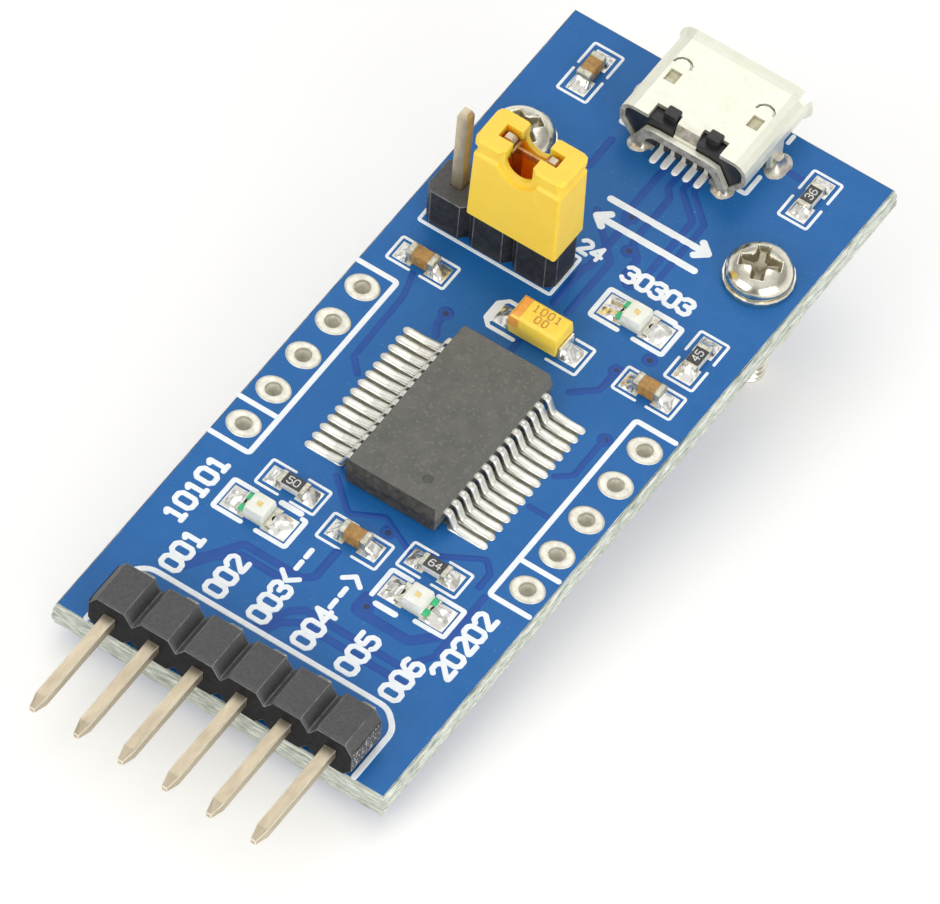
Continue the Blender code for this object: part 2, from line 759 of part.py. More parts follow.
drop_y = insulator_back + usb_contact_drop
usb_contact_path = bent(
    [
        (tongue_front - usb_contact_setback, contact_level),
        (drop_y, contact_level),
        (drop_y, usb_contact_sheet / 2),
        (socket_back - usb_foot_reach, usb_contact_sheet / 2),
    ],
    1.2 * usb_contact_sheet,
)
for i, x in enumerate(usb_contact_xs):
    edge = sheet_edge(usb_contact_path, usb_contact_sheet)
    strip = prism(bmesh.new(), edge, -usb_contact_width / 2, usb_contact_width / 2, "X")
    piece(f"usb_contact_{i + 1}", strip, [tin], (socket_x + x, 0.0, socket_floor))


# Interface chip: a moulded body with drafted sides and two rows of gull-wing leads

chip_place = (chip_x, chip_y, on_board)
chip_sections = (
    (chip_standoff, rectangle(chip_width - chip_draft, chip_length - chip_draft)),
    (chip_parting, rectangle(chip_width, chip_length)),
    (chip_height, rectangle(chip_width - 2 * chip_draft, chip_length - 2 * chip_draft)),
)
chip_shape = loft(bmesh.new(), chip_sections)
interface_chip = piece("interface_chip", chip_shape, [chip_resin, tin], chip_place)

lead_shape = bmesh.new()
lead_root = chip_width / 2 - 2 * chip_draft
lead_shoulder = chip_width / 2 + chip_lead_shoulder
lead_tip = chip_lead_span / 2
for side in (-1, 1):
    lead_path = bent(
        [
            (side * lead_root, chip_parting),
            (side * lead_shoulder, chip_parting),
            (side * (lead_tip - chip_foot), chip_lead_sheet / 2),
            (side * lead_tip, chip_lead_sheet / 2),
        ],
        chip_lead_sheet,
        2,
    )
    edge = sheet_edge(lead_path, chip_lead_sheet)
    for i in range(chip_leads_a_side):
        y = (i - (chip_leads_a_side - 1) / 2) * chip_lead_pitch
        prism(lead_shape, edge, y - chip_lead_width / 2, y + chip_lead_width / 2, "Y")
chip_leads = helper("chip_leads", lead_shape, chip_place)
chip_leads.data.materials.append(tin)
combine(interface_chip, chip_leads, "UNION")

dot_place = (chip_width / 2 - chip_dot_inset, chip_dot_end_inset - chip_length / 2)
dot_outline = circle(chip_dot, 14, dot_place)
dot_shape = prism(bmesh.new(), dot_outline, chip_height - chip_dot_depth, 2 * chip_height)
combine(interface_chip, helper("chip_dot", dot_shape, chip_place), "DIFFERENCE")


# Tantalum capacitor: a moulded block between two tinned straps that fold under it

strap_thickness = tantalum_sheet + running
body_length = tantalum_length - 2 * strap_thickness
body_bottom = strap_thickness
body_middle = tantalum_height / 2
body_face = rectangle(body_length - tantalum_draft, tantalum_width - tantalum_draft)
body_sections = (
    (body_bottom, body_face),
    (body_middle, rectangle(body_length, tantalum_width)),
    (tantalum_height - tantalum_draft, body_face),
    (tantalum_height, rectangle(body_length - 3 * tantalum_draft, tantalum_width - 3 * tantalum_draft)),
)
tantalum_place = (tantalum_x, tantalum_y, on_board)
tantalum_shape = loft(bmesh.new(), body_sections)
piece("tantalum_body", tantalum_shape, [tantalum_yellow], tantalum_place)

for side, name in ((-1, "tantalum_strap_left"), (1, "tantalum_strap_right")):
    strap_x = side * (tantalum_length / 2 - tantalum_sheet / 2)
    strap_path = bent(
        [
            (strap_x, body_middle),
            (strap_x, tantalum_sheet / 2),
            (strap_x - side * tantalum_tab_reach, tantalum_sheet / 2),
        ],
        0.75 * tantalum_sheet,
    )
    edge = sheet_edge(strap_path, tantalum_sheet)
    strap = prism(bmesh.new(), edge, -tantalum_tab_width / 2, tantalum_tab_width / 2, "Y")
    piece(name, strap, [tin], tantalum_place)


# Ceramic capacitors and resistors: a fired brick whose plated ends stand out by the thickness of the plating


def chip_part(name, height, body_finish, place):
    """One part with its two plated ends, seated at its place on the board."""
    x, y, along_y = place
    end = chip_part_length / 2
    inner = end - chip_part_end
    full = rectangle(chip_part_width, height, (0.0, height / 2))
    bare = rectangle(chip_part_width - 2 * coating, height - 2 * coating, (0.0, height / 2))
    sections = ((-end, full), (-inner, full), (-inner, bare), (inner, bare), (inner, full), (end, full))
    shape = loft(bmesh.new(), sections, "X")
    for face in shape.faces:
        face.material_index = 0 if abs(face.calc_center_median().x) < inner * 0.99 else 1
    piece(name, shape, [body_finish, tin], (x * board_width, y * board_length, on_board), along_y)


for i, place in enumerate(capacitor_places):
    chip_part(f"capacitor_{i + 1}", capacitor_height, ceramic_brown, place)
for i, place in enumerate(resistor_places):
    chip_part(f"resistor_{i + 1}", resistor_height, resistor_black, place)


# Indicator lights: a clear resin block moulded on a small base with plated ends

for i, (x, y) in enumerate(led_places):
    base = bmesh.new()
    prism(base, rectangle(led_length, led_width), 0.0, led_base)
    led_place = (x * board_width, y * board_length, on_board)
    piece(f"led_base_{i + 1}", base, [led_board], led_place)
    lens_length = led_length - 2 * led_end
    lens_foot = rectangle(lens_length, led_width)
    lens_top = rectangle(lens_length - 2 * led_lens_draft, led_width - led_lens_draft)
    lens_sections = ((led_base + seat, lens_foot), (led_base + led_lens_height, lens_top))
    lens = loft(bmesh.new(), lens_sections)
    piece(f"led_lens_{i + 1}", lens, [led_resin], led_place)


# Fixing screws: pan head with a cross recess, flat washer above the board and hexagon nut below it


def cross_outline(width, slot):
    """A plus sign, arms and slot centred."""
    arm = width / 2
    half = slot / 2
    quarter = [(arm, -half), (arm, half), (half, half)]
    points = []
    for turn in range(4):
        c, s = round(math.cos(turn * math.pi / 2)), round(math.sin(turn * math.pi / 2))
        points += [(c * u - s * v, s * u + c * v) for u, v in quarter]
    return points


nut_top = -seat
nut_bottom = nut_top - nut_height
nut_corner = nut_across_flats / math.cos(math.pi / 6)
nut_chamfer = (nut_corner - nut_across_flats) / 2
for side, which in ((-1, "left"), (1, "right")):
    place = (side * screw_x, screw_y, 0.0)

    screw_shape = bmesh.new()
    screw_end = head_bottom - screw_length
    point_top = screw_end + screw_point
    shank = [(screw_point_width, screw_end), (screw_diameter, point_top), (screw_diameter, head_bottom)]
    head = [(wide * screw_head, head_bottom + high * screw_head_height) for wide, high in pan_profile]
    turned(screw_shape, shank + head)
    screw = piece(f"screw_{which}", screw_shape, [nickel], place)
    head_top = head_bottom + screw_head_height
    recess_sections = []
    for wide, thick, high in recess_profile:
        arms = cross_outline(wide * recess_width, thick * recess_slot)
        recess_sections.append((head_top + (high - 1) * recess_depth, arms))
    recess_shape = loft(bmesh.new(), recess_sections)
    combine(screw, helper(f"screw_recess_{which}", recess_shape, place), "DIFFERENCE")

    washer_top = washer_bottom + washer_thickness
    washer_profile = (
        (screw_hole, washer_bottom),
        (washer_diameter, washer_bottom),
        (washer_diameter, washer_top),
        (screw_hole, washer_top),
    )
    piece(f"washer_{which}", turned(bmesh.new(), washer_profile, closed=True), [nickel], place)

    nut_shape = prism(bmesh.new(), circle(nut_corner, 6), nut_bottom, nut_top)
    nut = piece(f"nut_{which}", nut_shape, [nickel], place)
    trim_profile = (
        (nut_across_flats, nut_bottom),
        (nut_corner + nut_chamfer, nut_bottom + nut_chamfer),
        (nut_corner + nut_chamfer, nut_top - nut_chamfer),
        (nut_across_flats, nut_top),
    )
    combine(nut, helper(f"nut_trim_{which}", turned(bmesh.new(), trim_profile, 24), place), "INTERSECT")
    bore = prism(bmesh.new(), circle(screw_diameter + 2 * press, 20), 2 * nut_bottom, nut_height)
    combine(nut, helper(f"nut_bore_{which}", bore, place), "DIFFERENCE")

settle(list(bpy.data.objects))
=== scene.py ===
import itertools
import math

import bmesh
import bpy
from mathutils import Matrix, Vector, noise


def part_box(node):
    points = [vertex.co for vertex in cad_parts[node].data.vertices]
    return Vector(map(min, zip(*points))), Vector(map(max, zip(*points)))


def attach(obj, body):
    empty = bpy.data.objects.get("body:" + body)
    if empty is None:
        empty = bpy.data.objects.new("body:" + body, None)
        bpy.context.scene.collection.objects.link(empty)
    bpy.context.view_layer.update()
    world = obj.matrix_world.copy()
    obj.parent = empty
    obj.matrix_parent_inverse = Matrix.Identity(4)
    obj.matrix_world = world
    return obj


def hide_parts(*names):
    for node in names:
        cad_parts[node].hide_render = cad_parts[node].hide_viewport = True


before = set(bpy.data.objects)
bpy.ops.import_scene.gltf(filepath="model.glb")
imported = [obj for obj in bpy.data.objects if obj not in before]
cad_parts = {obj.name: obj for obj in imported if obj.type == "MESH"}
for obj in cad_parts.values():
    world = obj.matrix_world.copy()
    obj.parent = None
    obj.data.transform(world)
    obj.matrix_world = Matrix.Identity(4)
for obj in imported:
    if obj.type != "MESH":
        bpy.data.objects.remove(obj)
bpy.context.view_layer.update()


# Fibreglass core of the board: woven glass and resin, snapped out of its panel along a V-shaped score.
# The slanted faces of the score are cut clean, and the web between them is torn, so that its fibres show.

MM = 0.001


def add_node(tree, kind, **settings):
    """One shader node, with its sockets and settings given by name."""
    made = tree.nodes.new(kind)
    for name, value in settings.items():
        socket = made.inputs.get(name.replace("_", " "))
        if socket is None:
            setattr(made, name, value)
        else:
            socket.default_value = value
    return made


def wire(tree, *links):
    """Joins sockets. Each link is a node, its output, the next node and its input."""
    for source, output, target, entry in links:
        tree.links.new(source.outputs[output], target.inputs[entry])


def finish(name, dark, light, blotch, roughness, bump, stretch=(1, 1, 1), contrast=0.3, specks=None, **fixed):
    """A finish that varies over the piece: its colour from dark to light in blotches of that size in mm, its
    roughness between two values, and its surface by bumps of that height in mm. specks is the colour of small
    grains, their size in mm and how rare they are. fixed sets other sockets."""
    made = bpy.data.materials.new(name)
    made.use_nodes = True
    tree = made.node_tree
    surface = tree.nodes["Principled BSDF"]
    for socket, value in fixed.items():
        surface.inputs[socket.replace("_", " ")].default_value = value
    coords = add_node(tree, "ShaderNodeTexCoord")
    scale = [1000 * s / blotch for s in stretch]
    mapping = add_node(tree, "ShaderNodeMapping", Scale=scale)
    broad = add_node(tree, "ShaderNodeTexNoise", Scale=1.0, Detail=4.0, Roughness=0.6)
    fine = add_node(tree, "ShaderNodeTexNoise", Scale=4.3, Detail=3.0, Roughness=0.6)
    ramp = add_node(tree, "ShaderNodeMapRange", From_Min=0.5 - contrast / 2, From_Max=0.5 + contrast / 2)
    colour = add_node(tree, "ShaderNodeMix", data_type="RGBA")
    colour.inputs[6].default_value = (*dark, 1)
    colour.inputs[7].default_value = (*light, 1)
    wire(tree, (ramp, 0, colour, 0))
    gloss = add_node(tree, "ShaderNodeMapRange", From_Min=0.3, From_Max=0.7, To_Min=roughness[0], To_Max=roughness[1])
    relief = add_node(tree, "ShaderNodeBump", Strength=1.0, Distance=bump * MM)
    if specks:
        grain_colour, grain, rare = specks
        plain = colour
        grains = add_node(tree, "ShaderNodeTexNoise", Scale=1000 / grain, Detail=1.0)
        chosen = add_node(tree, "ShaderNodeMapRange", From_Min=rare, From_Max=rare + 0.06)
        colour = add_node(tree, "ShaderNodeMix", data_type="RGBA")
        colour.inputs[7].default_value = (*grain_colour, 1)
        wire(
            tree,
            (coords, "Object", grains, "Vector"),
            (grains, "Fac", chosen, "Value"),
            (chosen, 0, colour, 0),
            (plain, 2, colour, 6),
        )
    wire(
        tree,
        (coords, "Object", mapping, "Vector"),
        (mapping, 0, broad, "Vector"),
        (mapping, 0, fine, "Vector"),
        (broad, "Fac", ramp, "Value"),
        (colour, 2, surface, "Base Color"),
        (fine, "Fac", gloss, "Value"),
        (gloss, 0, surface, "Roughness"),
        (fine, "Fac", relief, "Height"),
        (relief, 0, surface, "Normal"),
    )
    return made


def add_object(name, data):
    """Puts an object in the scene."""
    made = bpy.data.objects.new(name, data)
    bpy.context.scene.collection.objects.link(made)
    return made


def build(name, shape, surface):
    """Makes an object from a shape drawn in millimetres."""
    bmesh.ops.scale(shape, vec=(MM, MM, MM), verts=shape.verts)
    mesh = bpy.data.meshes.new(name)
    shape.to_mesh(mesh)
    shape.free()
    mesh.materials.append(surface)
    mesh.shade_smooth()
    return add_object(name, mesh)


def place(name, shape, surface, body="module", slot=None, stands_for=(), crease=35):
    """Makes a piece from a shape and hands it to its body."""
    bmesh.ops.recalc_face_normals(shape, faces=shape.faces)
    made = build(name, shape, surface)
    made.data.set_sharp_from_angle(angle=math.radians(crease))
    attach(made, body)
    if stands_for:
        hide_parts(*stands_for)
    return made


def box_of(node):
    """Lowest and highest corner of a CAD node, in millimetres."""
    low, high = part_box(node)
    return low / MM, high / MM


def skin(shape, rows, closed=True, caps=True):
    """Joins rows of points into a surface. closed joins each row's ends, and caps closes the first and last row."""
    made = [[shape.verts.new(p) for p in row] for row in rows]
    for low, high in zip(made, made[1:]):
        for i in range(0 if closed else 1, len(low)):
            shape.faces.new((low[i - 1], low[i], high[i], high[i - 1]))
    if caps:
        shape.faces.new(made[0])
        shape.faces.new(made[-1])
    return made


def loft(name, rows, surface, closed=True, caps=True, **how):
    """Makes a piece from rows of points. how is what place takes."""
    shape = bmesh.new()
    skin(shape, rows, closed, caps)
    return place(name, shape, surface, **how)


def coat(node, surface):
    """Gives a CAD solid its finish."""
    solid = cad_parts[node]
    solid.data.materials.clear()
    solid.data.materials.append(surface)
    return solid


fibreglass = finish(
    "fibreglass_edge", (0.24, 0.28, 0.22), (0.93, 0.96, 0.88), 0.9, (0.55, 0.85), 0.03, stretch=(1, 1, 8), contrast=0.4
)
_, board_high = box_of("circuit_board")
score_lean = 0.1
half_width = board_high.x - score_lean
half_length = board_high.y - score_lean
board_top = board_high.z
score_depth = 0.4
web_low, web_high, web_blend = 0.3, 1.3, 0.15
coat("circuit_board", fibreglass)

edge_step = 0.14
edge_levels = (0.02, 0.2, 0.4, 0.52, 0.64, 0.76, 0.88, 1.0, 1.1, 1.2, 1.4, 1.58)
walk = []
for nx, ny in ((0, -1), (1, 0), (0, 1), (-1, 0)):
    half = half_length if nx else half_width
    count = 3 * round(2 * half / edge_step / 3)
    for i in range(count):
        along = -half + 2 * half * i / count
        walk.append((nx * half_width - ny * along, ny * half_length + nx * along, nx, ny))
rows = []
for z in edge_levels:
    torn = min(1.0, max(0.0, min(z - web_low, web_high - z) / web_blend))
    slope = score_lean * min(1.0, min(z, board_top - z) / score_depth)
    row = []
    for x, y, nx, ny in walk:
        rough = 0.035 + 0.05 * torn * (0.6 + noise.noise(Vector((x * 2.6, y * 2.6, z * 7))))
        rough += 0.03 * torn * noise.noise(Vector((x * 9, y * 9, z * 15)))
        out = slope + max(rough, 0.012)
        if abs(abs(x) - half_width) < 1e-6 and abs(abs(y) - half_length) < 1e-6:
            nx, ny = math.copysign(1, x), math.copysign(1, y)
        row.append((x + out * nx, y + out * ny, z))
    rows.append(row)
loft("board_torn_edge", rows, fibreglass, caps=False, slot="board_blue", crease=60)


# Solder mask: a thin blue coat over the copper on both faces. It leaves the plated holes bare, and the copper
# lines below it stand up through it as slightly darker bands.

mask_blue = finish(
    "solder_mask_blue", (0.007, 0.112, 0.352), (0.02, 0.147, 0.422), 3.5, (0.3, 0.42), 0.0015, contrast=0.9,
    specks=((0.06, 0.25, 0.55), 0.1, 0.72),
    Specular_IOR_Level=0.24,
)
mask_thickness = 0.03
mask_top = board_top + mask_thickness


def circle(middle, radius, steps=28, squash=1.0):
    """Points round a circle, or an oval that squash flattens along Y."""
    turns = [2 * math.pi * i / steps for i in range(steps)]
    return [(middle[0] + radius * math.cos(t), middle[1] + radius * squash * math.sin(t)) for t in turns]


def perforated(outer, holes, low, high):
    """A flat sheet with holes, and its edges turned down."""
    shape = bmesh.new()
    border = []
    for loop in (outer, *holes):
        top = [shape.verts.new((x, y, high)) for x, y in loop]
        bottom = [shape.verts.new((x, y, low)) for x, y in loop]
        for i in range(len(loop)):
            shape.faces.new((top[i - 1], top[i], bottom[i], bottom[i - 1]))
            border.append(shape.edges.get((top[i - 1], top[i])))
    bmesh.ops.triangle_fill(shape, use_beauty=True, edges=border)
    return shape


grid = 1.27
side_row_middle = -0.0727 * 2 * half_length
side_xs = (-6.5 * grid, 6.5 * grid)
side_ys = [side_row_middle + k * 2 * grid for k in (2, 1, 0, -1, -2)]
screw_boxes = [box_of(f"screw_{side}") for side in ("left", "right")]
screw_places = [((low.x + high.x) / 2, (low.y + high.y) / 2) for low, high in screw_boxes]
header_leg_inset = 3.05
header_leg_y = header_leg_inset - half_length
header_xs = [(k - 2.5) * 2 * grid for k in range(6)]
selector_low, selector_high = box_of("selector_block")
selector_middle = (selector_low + selector_high) / 2
selector_xs = [selector_middle.x + (k - 1) * 2 * grid for k in range(3)]
pin_feet = [(x, header_leg_y) for x in header_xs] + [(x, selector_middle.y) for x in selector_xs]
shell_low, shell_high = box_of("usb_shell")
shell_x = (shell_low.x + shell_high.x) / 2
side_leg_y = shell_high.y - 2.75
side_leg_x = 3.575
ring_opening, screw_opening, pin_opening, leg_opening = 0.5, 1.1, 0.51, 0.33

mask_holes = [circle((x, y), ring_opening, 24) for x in side_xs for y in side_ys]
mask_holes += [circle(p, screw_opening, 24) for p in screw_places]
mask_holes += [circle(p, pin_opening, 16) for p in pin_feet]
mask_holes += [circle((shell_x + s * side_leg_x, side_leg_y), leg_opening, 16, 2.2) for s in (-1, 1)]
mask_edge = []
for x, y, _, _ in walk[::3]:
    ragged = 0.02 + 0.02 * noise.noise(Vector((x * 3, y * 3, 5)))
    mask_edge.append((x - math.copysign(ragged, x), y - math.copysign(ragged, y)))
place("mask_top", perforated(mask_edge, mask_holes, board_top, mask_top), mask_blue, slot="board_blue")
place("mask_underside", perforated(mask_edge, mask_holes, 0.0, -mask_thickness), mask_blue, slot="board_blue")


def sides_of(path, width, closed=False):
    """Left and right side of a line of that width, mitred at its corners."""
    left, right = [], []
    count = len(path)
    for i, here in enumerate(path):
        here = Vector(here)
        before = Vector(path[i - 1]) if i or closed else None
        after = Vector(path[(i + 1) % count]) if i + 1 < count or closed else None
        steps = [(here - before).normalized()] if before is not None else []
        steps += [(after - here).normalized()] if after is not None else []
        normals = [Vector((-d.y, d.x)) for d in steps]
        mitre = sum(normals, Vector((0, 0)))
        mitre = mitre / (mitre.length_squared / len(normals)) if len(normals) == 2 else mitre
        left.append(here + mitre * width / 2)
        right.append(here - mitre * width / 2)
    return left, right


def rounded(path, radius, closed=False, steps=5):
    """The path with its corners turned by arcs."""
    count = len(path)
    points = []
    for i, here in enumerate(path):
        here = Vector(here)
        if not closed and i in (0, count - 1):
            points.append(here)
            continue
        before = (here - Vector(path[i - 1])).normalized()
        after = (Vector(path[(i + 1) % count]) - here).normalized()
        turn = before.angle(after)
        if turn < 0.05:
            points.append(here)
            continue
        reach = radius * math.tan(turn / 2)
        start, end = here - before * reach, here + after * reach
        for k in range(steps + 1):
            t = k / steps
            points.append(start * (1 - t) ** 2 + here * 2 * t * (1 - t) + end * t**2)
    return points


def printed_line(shape, path, width, low, high, closed=False, slope=0.02):
    """A raised line along a path with round ends: a top that climbs a hair along its way, so that it never lies
    in one plane with itself where it crosses, and sides that slope down to the board."""
    left, right = sides_of(path, width, closed)
    wide_left, wide_right = sides_of(path, width + 2 * slope, closed)
    rows = []
    for edges in zip(wide_left, left, right, wide_right):
        rows.append([(*edges[0], low), (*edges[1], high), (*edges[2], high), (*edges[3], low)])
    if closed:
        rows.append(list(rows[0]))
    else:
        for middle, at in ((Vector(path[0]), 0), (Vector(path[-1]), -1)):
            arm, wide_arm = left[at] - middle, wide_left[at] - middle
            back = Vector((-arm.y, arm.x)) if at == 0 else Vector((arm.y, -arm.x))
            wide_back = back * (wide_arm.length / arm.length)
            cap_rows = []
            for k in range(4, 0, -1):
                across, out = math.cos(math.pi * k / 10), math.sin(math.pi * k / 10)
                ends = (
                    middle + wide_arm * across + wide_back * out,
                    middle + arm * across + back * out,
                    middle - arm * across + back * out,
                    middle - wide_arm * across + wide_back * out,
                )
                cap_rows.append([(*p, z) for p, z in zip(ends, (low, high, high, low))])
            rows = cap_rows + rows if at == 0 else rows + cap_rows[::-1]
    climb = [0.0004 * k for k in range(len(rows))]
    rows = [[(x, y, z if z == low else z + rise) for x, y, z in row] for row, rise in zip(rows, climb)]
    skin(shape, rows, closed=False, caps=not closed)


trace_blue = finish(
    "copper_line_under_mask", (0.01, 0.067, 0.305), (0.02, 0.095, 0.378), 1.5, (0.28, 0.4), 0.001, contrast=0.8,
    Specular_IOR_Level=0.24,
)
copper_lines = (
    (0.34, [(-0.4, 16.9), (-0.4, 13.1), (-0.05, 12.7), (-0.05, 9.5), (-0.25, 9.2), (-0.25, 6.6)]),
    (0.3, [(0.39, 16.9), (0.39, 15.75), (0.83, 15.25), (0.83, 12.0), (1.6, 11.2), (1.6, 9.9)]),
    (0.3, [(1.03, 16.9), (1.03, 16.05), (2.5, 14.75), (2.5, 10.9)]),
    (0.26, [(1.55, 16.9), (1.55, 16.3), (3.1, 14.9), (3.1, 10.9)]),
    (0.3, [(-1.7, 12.6), (0.63, 10.3), (0.63, 6.5)]),
    (0.36, [(-5.75, -16.3), (-5.2, -15.7), (-4.2, -14.15), (-0.85, -14.15), (-0.35, -13.7), (-0.35, -11.9)]),
    (0.36, [(-5.75, -16.9), (-4.9, -15.6), (-3.9, -14.75), (-1.8, -14.75)]),
    (0.36, [(-1.0, -17.8), (-0.2, -16.1), (0.35, -15.6), (6.5, -15.6)]),
    (0.36, [(-0.55, -17.8), (-0.2, -16.9), (0.55, -16.35), (6.5, -16.35)]),
    (0.5, [(2.25, -13.2), (2.25, -14.15), (5.35, -14.15), (6.35, -13.1)]),
    (0.3, [(6.85, -9.9), (6.85, -14.2), (6.3, -15.0)]),
    (0.3, [(-4.1, 3.0), (-4.1, 2.2), (-3.75, 1.6)]),
    (0.25, [(-6.75, 4.0), (-6.35, 2.6), (-6.25, -1.8), (-5.5, -2.6)]),
    (0.25, [(-2.9, -8.2), (-1.2, -9.7), (0.4, -8.8), (2.6, -9.9), (5.7, -8.0), (6.3, -8.6), (6.3, -9.6)]),
    (0.25, [(5.6, -4.2), (6.6, -4.2)]),
    (0.25, [(5.6, -2.0), (6.3, -1.4), (6.3, 1.2)]),
    (0.3, [(-0.3, 3.6), (-0.3, 2.4)]),
    (0.3, [(4.5, 4.9), (4.5, 3.6), (3.4, 2.6)]),
    (0.3, [(-3.5, 16.6), (-3.5, 14.6)]),
    (0.3, [(5.4, 20.1), (3.9, 20.1)]),
)
line_shape = bmesh.new()
for k, (width, path) in enumerate(copper_lines):
    printed_line(line_shape, rounded(path, 0.25), width, mask_top - 0.002, mask_top + 0.006 + 0.0004 * k, slope=0.05)
place("copper_lines", line_shape, trace_blue, slot="board_blue")


# Small plated holes that carry a line from face to face. The mask runs over them, so each is a low blue ring
# round a dark dimple.

via_dark = finish("via_dimple", (0.004, 0.012, 0.05), (0.01, 0.022, 0.08), 0.2, (0.3, 0.5), 0.002)
via_places = [(-4.1, 2.95), (4.5, 4.98), (5.45, 6.5), (0.98, 11.4), (2.1, 9.8), (-0.05, 13.2), (6.35, 1.25)]
via_places += [(2.6, -13.7), (1.0, -9.5)]
ring_profile = ((0.42, -0.002), (0.38, 0.012), (0.2, 0.016), (0.13, 0.006))
dimple_profile = ((0.15, 0.014), (0.1, 0.011), (0.05, 0.008))
via_rings, via_dimples = bmesh.new(), bmesh.new()
for at in via_places:
    skin(via_rings, [[(*p, mask_top + z) for p in circle(at, r, 20)] for r, z in ring_profile], caps=False)
    skin(via_dimples, [[(*p, mask_top + z) for p in circle(at, r, 14)] for r, z in dimple_profile])
place("via_rings", via_rings, trace_blue, slot="board_blue")
place("via_dimples", via_dimples, via_dark, slot="board_blue")


# Plated holes along both sides: copper barrels with an oval land at each end, tinned in the hot-air bath, so
# that the land is slightly domed and its bright coat is uneven.


def uneven(point, size, height):
    """A smooth random number up to about height, whose bumps are that size in mm."""
    return noise.noise(Vector(point) / size) * height


def refinish(made, surface, chosen):
    """Gives the faces that chosen picks another finish."""
    made.data.materials.append(surface)
    other = len(made.data.materials) - 1
    for face in made.data.polygons:
        face.material_index = other if chosen(face) else 0


tin = finish(
    "hot_air_tin", (0.62, 0.6, 0.52), (0.94, 0.92, 0.81), 0.4, (0.38, 0.56), 0.01, contrast=0.5, Metallic=0.9
)
# The barrel walls inside the holes get this lighter, barely metallic copy of the tin: painted light.
barrel_painted_light_tin = finish(
    "barrel_painted_light_tin", (0.74, 0.71, 0.6), (0.97, 0.95, 0.86), 0.35, (0.4, 0.6), 0.01, contrast=0.5, Metallic=0.15
)
land_width, land_length = 1.85, 1.6
land_profile = ((0.0, 0.0), (0.02, 0.03), (0.25, 0.055), (0.7, 0.05), (0.93, 0.028), (1.0, -0.005))
barrel_radius = 0.425
lands = bmesh.new()
for x in side_xs:
    for y in side_ys:
        rows = []
        for side, z0 in ((1, mask_top), (-1, -mask_thickness)):
            ring = []
            for r, rise in land_profile:
                wide = barrel_radius + (land_width / 2 - barrel_radius) * r
                deep = barrel_radius + (land_length / 2 - barrel_radius) * r
                ring.append([(*p, z0 + side * rise) for p in circle((x, y), wide, 36, deep / wide)])
            rows.append(ring)
        top, bottom = rows
        waist = []
        for z in (1.5, 1.35, 1.2, 1.0, 0.8, 0.6, 0.4, 0.2):
            ring = []
            for px, py in circle((0, 0), 1.0, 36):
                wall = barrel_radius + 0.01 - abs(uneven((px * 0.5 + x, py * 0.5 + y, z), 0.35, 0.09))
                ring.append((x + px * wall, y + py * wall, z))
            waist.append(ring)
        skin(lands, top[::-1] + waist + bottom, caps=False)
plating = place("side_hole_plating", lands, tin, slot="tin", crease=50)
# Painted light: the faces inside the barrels, between the lands, take the lighter copy.
refinish(plating, barrel_painted_light_tin, lambda face: 0.1 * MM < face.center.z < (board_top - 0.04) * MM)


# White printing on the board: ink lines round each part, a bar where a part's polarity matters, plain numbers
# beside the pins and lights, and plain arrows. It is silk-screened, so it is thin and its edges are soft.

ink = finish("white_ink", (0.8, 0.86, 0.9), (0.97, 0.98, 0.98), 0.5, (0.5, 0.7), 0.003, contrast=0.7)
ink_low, ink_high = mask_top - 0.001, mask_top + 0.016
ink_shape = bmesh.new()
ink_steps = itertools.cycle((0.0, 0.0031, 0.0062, 0.0093, 0.0124))


def ink_line(path, width, closed=False, corner=0.12):
    """One printed line. Its height differs from its neighbours', so that crossing lines don't lie in one plane."""
    smooth = rounded(path, corner, closed) if len(path) > 2 else [Vector(p) for p in path]
    printed_line(ink_shape, smooth, width, ink_low, ink_high + next(ink_steps), closed)


side_line = 0.26
for side, inner, outer in ((-1, 7.05, half_width - 0.06), (1, 6.92, 9.2)):
    path = [(side * outer, 3.1), (side * inner, 3.1), (side * inner, -9.6), (side * outer, -9.6)]
    ink_line(path, side_line, corner=0.2)
    ink_line([(side * (inner + side_line / 2), -7.04), (side * outer, -7.04)], side_line)
header_frame = [(-7.77, -22.15), (-7.77, -18.65), (-7.0, -17.94), (6.75, -17.94), (7.67, -18.86), (7.67, -22.15)]
ink_line(header_frame, 0.28, corner=1.2)
ink_line([(-8.38, 6.9), (-0.67, 6.9), (-0.67, 9.62), (-8.38, 9.62)], 0.16, closed=True)

# Two brackets face each other round each small part, with a gap between them at its middle
bracket_width = 0.12
bracketed = (
    (-8.39, -5.05, 4.07, 5.6, 0.33),
    (4.84, 8.18, 4.07, 5.6, 0.33),
    (-1.72, 1.7, -11.7, -10.03, 0.38),
    (-7.48, -5.78, 17.71, 21.13, 0.22),
    (5.58, 7.24, 17.66, 20.98, 0.3),
    (6.5, 8.13, 6.15, 9.47, 0.3),
    (-5.88, -2.5, -10.8, -9.18, 0.38),
    (2.34, 5.72, -10.8, -9.18, 0.35),
)
for x0, x1, y0, y1, gap in bracketed:
    for way, x, y in ((-1, x0, y0), (1, x1, y1)):
        if y1 - y0 > x1 - x0:
            near = (y0 + y1) / 2 + way * gap
            ink_line([(x0, near), (x0, y), (x1, y), (x1, near)], bracket_width)
        else:
            near = (x0 + x1) / 2 + way * gap
            ink_line([(near, y0), (x, y0), (x, y1), (near, y1)], bracket_width)

